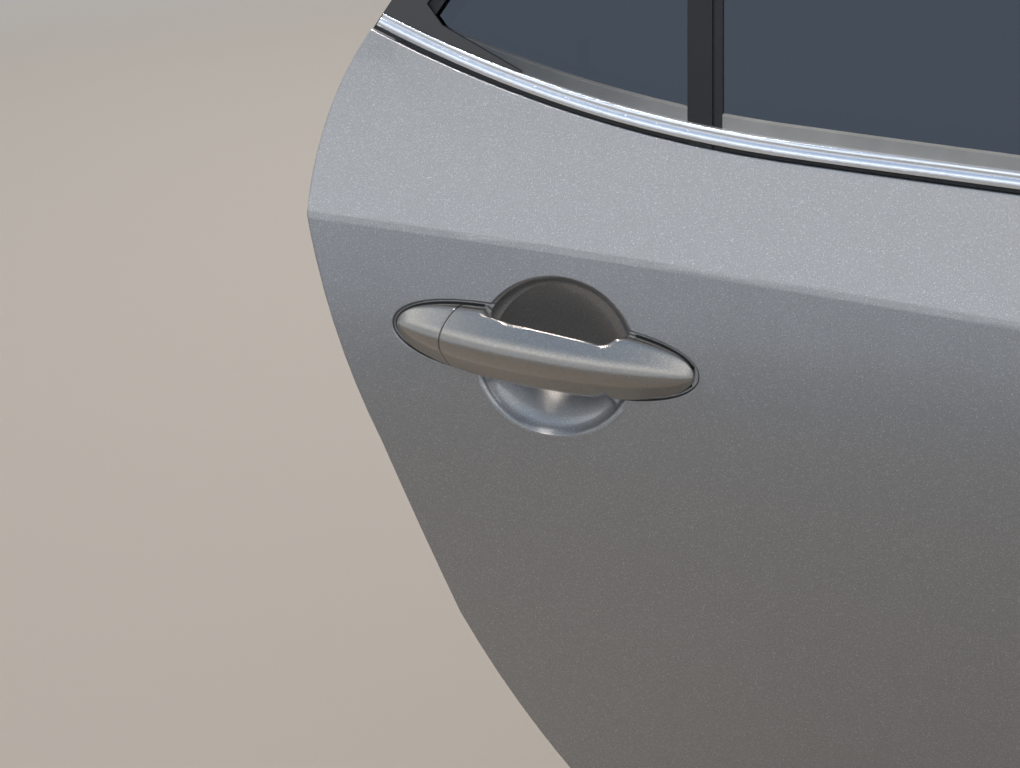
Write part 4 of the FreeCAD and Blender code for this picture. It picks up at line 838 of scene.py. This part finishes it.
@dataclass
class DoorCard:
    """Cloth insert, elbow pad, stitching and loudspeaker grille of the interior panel, in millimetres.

    The panel leans from the sill to the belt. The insert and the grille are drawn flat on it, back from the
    hinges and up from its foot, and the elbow pad is drawn flat on the arm rest.
    """

    shop: Shop
    sill_y: float = 24.0
    sill_z: float = -460.0
    belt_y: float = 72.0
    belt_z: float = 216.8
    face: float = 22.0
    insert_low: float = 508.0
    insert_high: float = 650.0
    insert_front: float = 264.0
    insert_rear_low: float = 716.0
    insert_rear_high: float = 764.0
    insert_rise: float = 16.0
    insert_corner: float = 26.0
    insert_edge: float = 2.4
    insert_sunk: float = 0.6
    rest_top: float = 491.2
    pad_ends: tuple[float, float] = (420.0, 604.0)
    pad_depth: tuple[float, float] = (31.0, 72.0)
    pad_corner: float = 12.0
    pad_edge: float = 0.8
    pad_sunk: float = 0.5
    # Width and rise of each ring of a pad, from its edge in, and which ring the stitches follow.
    crown: tuple[tuple[float, float], ...] = ((0.7, 1.1), (1.3, 0.9), (2.6, 0.5), (1.6, -0.5), (1.6, 0.6),
                                              (3.0, 0.6), (3.6, 0.4))
    seam: int = 3
    stitch_pitch: float = 5.0
    stitch_size: tuple[float, float, float] = (3.4, 1.0, 0.8)
    speaker: tuple[float, float] = (190.0, 160.4)
    speaker_radius: float = 64.0
    speaker_border: float = 5.0
    hole_pitch: float = 4.2
    hole_inset: float = 0.62
    grille_thickness: float = 1.3
    dome_top: float = 8.0
    dome_radius: float = 260.0
    # Radius against the dome's, and height, of each point of the rim.
    rim: tuple[tuple[float, float], ...] = ((-3.5, 3.0), (-3.5, 6.3), (-0.5, 7.0), (3.4, 5.0), (5.0, 0.0))

    def board(self) -> Matrix:
        """Place of the panel's foot: X forward, Y inboard, Z up its face.

        Returns:
            The place in metres.
        """
        lean = math.atan2(self.belt_y - self.sill_y, self.belt_z - self.sill_z)
        foot = Matrix.Translation(Vector((0, self.sill_y, self.sill_z)) * MM)
        return foot @ Matrix.Rotation(-lean, 4, "X")

    def sheet(self, out: float) -> Matrix:
        """Place for a shape drawn flat: its X to the rear, Y up the panel, Z into the cabin.

        Args:
            out: Height of the drawing above the panel's foot plane, in millimetres.

        Returns:
            The place in metres.
        """
        turn = Matrix(((-1, 0, 0, 0), (0, 0, 1, 0), (0, 1, 0, 0), (0, 0, 0, 1)))
        return self.board() @ Matrix.Translation((0, out * MM, 0)) @ turn

    def pillow(self, corners: list[tuple[float, float]], radius: float,
               rise: float) -> tuple[bmesh.types.BMesh, list[Vector]]:
        """Crowned pad with rounded corners, drawn flat in millimetres.

        Args:
            corners: Outline before its corners are rounded.
            radius: Radius of the corners.
            rise: Height of its edge.

        Returns:
            The shape and the ring for the stitches.
        """
        shape = bmesh.new()
        shape.faces.new([shape.verts.new((u, v, 0.0)) for u, v in corners])
        bmesh.ops.bevel(shape, geom=shape.verts[:], offset=radius, segments=8, profile=0.5,
                        affect="VERTICES", material=-1)
        top = next(iter(shape.faces))
        raised = bmesh.ops.extrude_face_region(shape, geom=[top])["geom"]
        bmesh.ops.translate(shape, verts=[v for v in raised if isinstance(v, bmesh.types.BMVert)],
                            vec=(0, 0, rise))
        top = next(f for f in raised if isinstance(f, bmesh.types.BMFace))
        ring: list[Vector] = []
        # The rings are sized for the insert; a pad with tighter corners has narrower ones.
        share = radius / self.insert_corner
        for i, (thickness, depth) in enumerate(self.crown):
            top.normal_update()
            out = share if top.normal.z > 0 else -share
            bmesh.ops.inset_region(shape, faces=[top], thickness=thickness * share, depth=depth * out,
                                   use_even_offset=True)
            if i == self.seam:
                ring = [v.co.copy() for v in top.verts]
        return shape, ring

    def stitches(self, name: str, ring: list[Vector], place: Matrix) -> None:
        """Sew a line of stitches along a ring.

        Args:
            name: Name of the piece.
            ring: Points of the line, in millimetres on the flat drawing.
            place: Place of the drawing.
        """
        stitch = bmesh.new()
        bmesh.ops.create_icosphere(stitch, subdivisions=1, radius=1.0)
        bmesh.ops.scale(stitch, verts=stitch.verts[:], vec=[size / 2 for size in self.stitch_size])
        runs = []
        for step in spaced(ring, self.stitch_pitch):
            step.translation *= MM
            runs.append(place @ step)
        self.shop.deliver(name, gather(stitch, runs), Slot.TRIM)

    def insert(self) -> None:
        """Cloth insert between the arm rest and the ledge."""
        corners = [(self.insert_front, self.insert_low), (self.insert_rear_low, self.insert_low),
                   (self.insert_rear_high, self.insert_high + self.insert_rise),
                   (self.insert_front, self.insert_high)]
        shape, ring = self.pillow(corners, self.insert_corner, self.insert_edge)
        place = self.sheet(self.face - self.insert_sunk)
        pad = self.shop.deliver("cloth_insert", gather(shape, [place]), Slot.SOFT_TRIM,
                                replaces=("trim_insert",))
        self.stitches("insert_stitches", ring, place)

    def elbow_pad(self) -> None:
        """Soft pad let into the top of the arm rest."""
        (u0, u1), (y0, y1) = self.pad_ends, self.pad_depth
        corners = [(u0, -y1), (u1, -y1), (u1, -y0), (u0, -y0)]
        shape, ring = self.pillow(corners, self.pad_corner, self.pad_edge)
        turn = Matrix(((-1, 0, 0, 0), (0, -1, 0, 0), (0, 0, 1, 0), (0, 0, 0, 1)))
        place = self.board() @ Matrix.Translation((0, 0, (self.rest_top - self.pad_sunk) * MM)) @ turn
        pad = self.shop.deliver("elbow_pad", gather(shape, [place]), Slot.SOFT_TRIM)
        self.stitches("elbow_pad_stitches", ring, place)

    def grille(self) -> None:
        """Domed grille with hexagonal holes, inside its rim."""
        inner = self.speaker_radius - self.speaker_border
        shape = bmesh.new()
        cell = self.hole_pitch / math.sqrt(3.0)
        rows = int(inner / (cell * 1.5)) + 1
        for row in range(-rows, rows + 1):
            shift = 0.5 * self.hole_pitch * (row % 2)
            for step in range(-rows, rows + 1):
                x, y = step * self.hole_pitch + shift, row * cell * 1.5
                if math.hypot(x, y) < inner - cell:
                    turn = Matrix.Translation((x, y, 0)) @ Matrix.Rotation(math.radians(30), 4, "Z")
                    bmesh.ops.create_circle(shape, cap_ends=True, segments=6, radius=cell, matrix=turn)
        bmesh.ops.remove_doubles(shape, verts=shape.verts[:], dist=0.05)
        holes = shape.faces[:]
        bmesh.ops.inset_individual(shape, faces=holes, thickness=self.hole_inset)
        bmesh.ops.delete(shape, geom=holes, context="FACES")
        for corner in shape.verts:
            flat = corner.co.xy.length
            corner.co.z = self.dome_top + math.sqrt(self.dome_radius ** 2 - flat ** 2) - self.dome_radius
        bmesh.ops.solidify(shape, geom=shape.faces[:], thickness=self.grille_thickness)
        turn_round(shape, [(inner + beyond, height) for beyond, height in self.rim], 72)
        shape.transform(Matrix.Translation((*self.speaker, 0)))
        self.shop.deliver("perforated_grille", gather(shape, [self.sheet(self.face)]), Slot.TRIM,
                          replaces=("speaker_grille",))

    def build(self) -> None:
        """Make the interior's soft and fine pieces."""
        self.insert()
        self.elbow_pad()
        self.grille()


@dataclass(frozen=True)
class Lamp:
    """Rectangular soft lamp, with places and size in metres."""

    name: str
    at: tuple[float, float, float]
    aim: tuple[float, float, float]
    size: tuple[float, float]
    watts: float
    colour: str = "#ffffff"

    def hang(self) -> None:
        """Hang the lamp, facing what it is aimed at."""
        data = bpy.data.lights.new(self.name, "AREA")
        data.shape = "RECTANGLE"
        data.size, data.size_y = self.size
        data.energy = self.watts
        data.color = linear(self.colour)[:3]
        lamp = bpy.data.objects.new(self.name, data)
        lamp.location = self.at
        lamp.rotation_euler = (Vector(self.aim) - Vector(self.at)).to_track_quat("-Z", "Y").to_euler()
        bpy.context.scene.collection.objects.link(lamp)


@dataclass
class Studio:
    """Camera at the photograph's place, a floor with painted shade near the door, pale backdrop and soft lamps.
    """

    azimuth: float = 13.0
    elevation: float = 25.0
    focal_px: float = 2000.0
    width_px: float = 1020.0
    aim_mm: tuple[float, float, float] = (-715.0, -72.0, 92.0)
    distance_mm: float = 1400.0
    floor_mm: float = -461.0
    # Distances from the origin between which the floor passes from its near colour, darkened as painted shade,
    # to its far one, lightened up the backdrop as painted light.
    near_m: float = 3.2
    far_m: float = 7.4
    near_floor_painted_shade: str = "#958b7f"
    far_floor_painted_light: str = "#eceded"
    sweep_m: float = 8.0
    bend_m: float = 1.6
    wall_m: float = 3.2
    sky: tuple[tuple[float, str], ...] = ((0.0, "#9f9c97"), (0.14, "#bfc0c1"), (0.30, "#f6faff"),
                                          (0.55, "#f2f8ff"), (0.80, "#a3b2c5"), (1.0, "#7089af"))
    sky_strength: float = 1.5
    # Height at which the sky's first band lies; its last lies overhead, at 1.
    sky_low: float = -0.1
    lamps: tuple[Lamp, ...] = (
        Lamp("key", (-0.95, 0.5, 3.3), (-0.6, 0.0, 0.1), (0.8, 0.5), 75.0, "#fff8f0"),
        Lamp("cabin_side", (-1.6, 3.0, 2.4), (-0.4, 0.0, 0.1), (2.6, 2.0), 70.0))

    def camera(self) -> None:
        """Place the camera as the photograph's."""
        a, e = math.radians(self.azimuth), math.radians(self.elevation)
        look = Vector((-math.sin(a) * math.cos(e), math.cos(a) * math.cos(e), -math.sin(e)))
        data = bpy.data.cameras.new("camera")
        data.sensor_width = SENSOR_MM
        data.lens = SENSOR_MM * self.focal_px / self.width_px
        data.clip_start = 0.05
        cam = bpy.data.objects.new("camera", data)
        cam.location = Vector(self.aim_mm) * MM - look * self.distance_mm * MM
        cam.rotation_euler = look.to_track_quat("-Z", "Y").to_euler()
        bpy.context.scene.collection.objects.link(cam)
        bpy.context.scene.camera = cam

    def floor(self) -> None:
        """Lay a round floor that curves up into a backdrop on every side, painted darker near the door as
        painted shade and paler far out as painted light.
        """
        shape = bmesh.new()
        low, radius = self.floor_mm * MM, self.bend_m
        bend = [(self.sweep_m - radius + radius * math.sin(a), low + radius - radius * math.cos(a))
                for a in (math.radians(15.0 * i) for i in range(7))]
        turn_round(shape, [(0.0, low), *bend, (self.sweep_m, low + self.wall_m)], 96)
        bmesh.ops.remove_doubles(shape, verts=shape.verts[:], dist=0.001)
        floor = add_to_scene("floor", shape)
        material, tree, place = new_material("floor_with_painted_shade")
        # Painted shade near the door fades to painted light far out and up the backdrop.
        away = add_node(tree, "VectorMath", {"operation": "LENGTH"}, {0: place})
        far = spread(tree, away.outputs["Value"], 0.0, 1.0, (self.near_m, self.far_m), smooth=True)
        shade = blend(tree, far, self.near_floor_painted_shade, self.far_floor_painted_light)
        shader = add_node(tree, "BsdfPrincipled", {"Roughness": 0.75, "Specular IOR Level": 0.2},
                          {"Base Color": shade})
        close_material(tree, shader)
        floor.data.materials.append(material)

    def world(self) -> None:
        """Soft surround: pale at eye level, brightest a little above it, bluer overhead."""
        world = bpy.data.worlds.new("surround")
        bpy.context.scene.world = world
        world.use_nodes = True
        tree = world.node_tree
        tree.nodes.clear()
        way = add_node(tree, "TexCoord").outputs["Generated"]
        height = add_node(tree, "SeparateXYZ", links={0: way})
        rise = spread(tree, height.outputs["Z"], 0.0, 1.0, (self.sky_low, 1.0))
        ramp = add_node(tree, "ValToRGB", links={0: rise})
        bands = ramp.color_ramp.elements
        while len(bands) < len(self.sky):
            bands.new(0.5)
        for band, (place, colour) in zip(bands, self.sky):
            band.position = place
            band.color = linear(colour)
        glow = add_node(tree, "Background", {"Strength": self.sky_strength}, {"Color": ramp.outputs[0]})
        add_node(tree, "OutputWorld", links={"Surface": glow.outputs[0]})

    def build(self) -> None:
        """Set up the studio."""
        self.camera()
        self.floor()
        self.world()
        for lamp in self.lamps:
            lamp.hang()
        bpy.context.scene.view_settings.view_transform = "Standard"


def main() -> None:
    """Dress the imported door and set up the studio."""
    logging.basicConfig(level=logging.INFO, format="%(name)s: %(message)s")
    finishes = Finishes()
    CadDressing(finishes).dress_all()
    shop = Shop(finishes)
    Hardware(shop).build()
    FingerRecess(shop).build()
    DoorCard(shop).build()
    Studio().build()


if __name__ == "__main__":
    main()
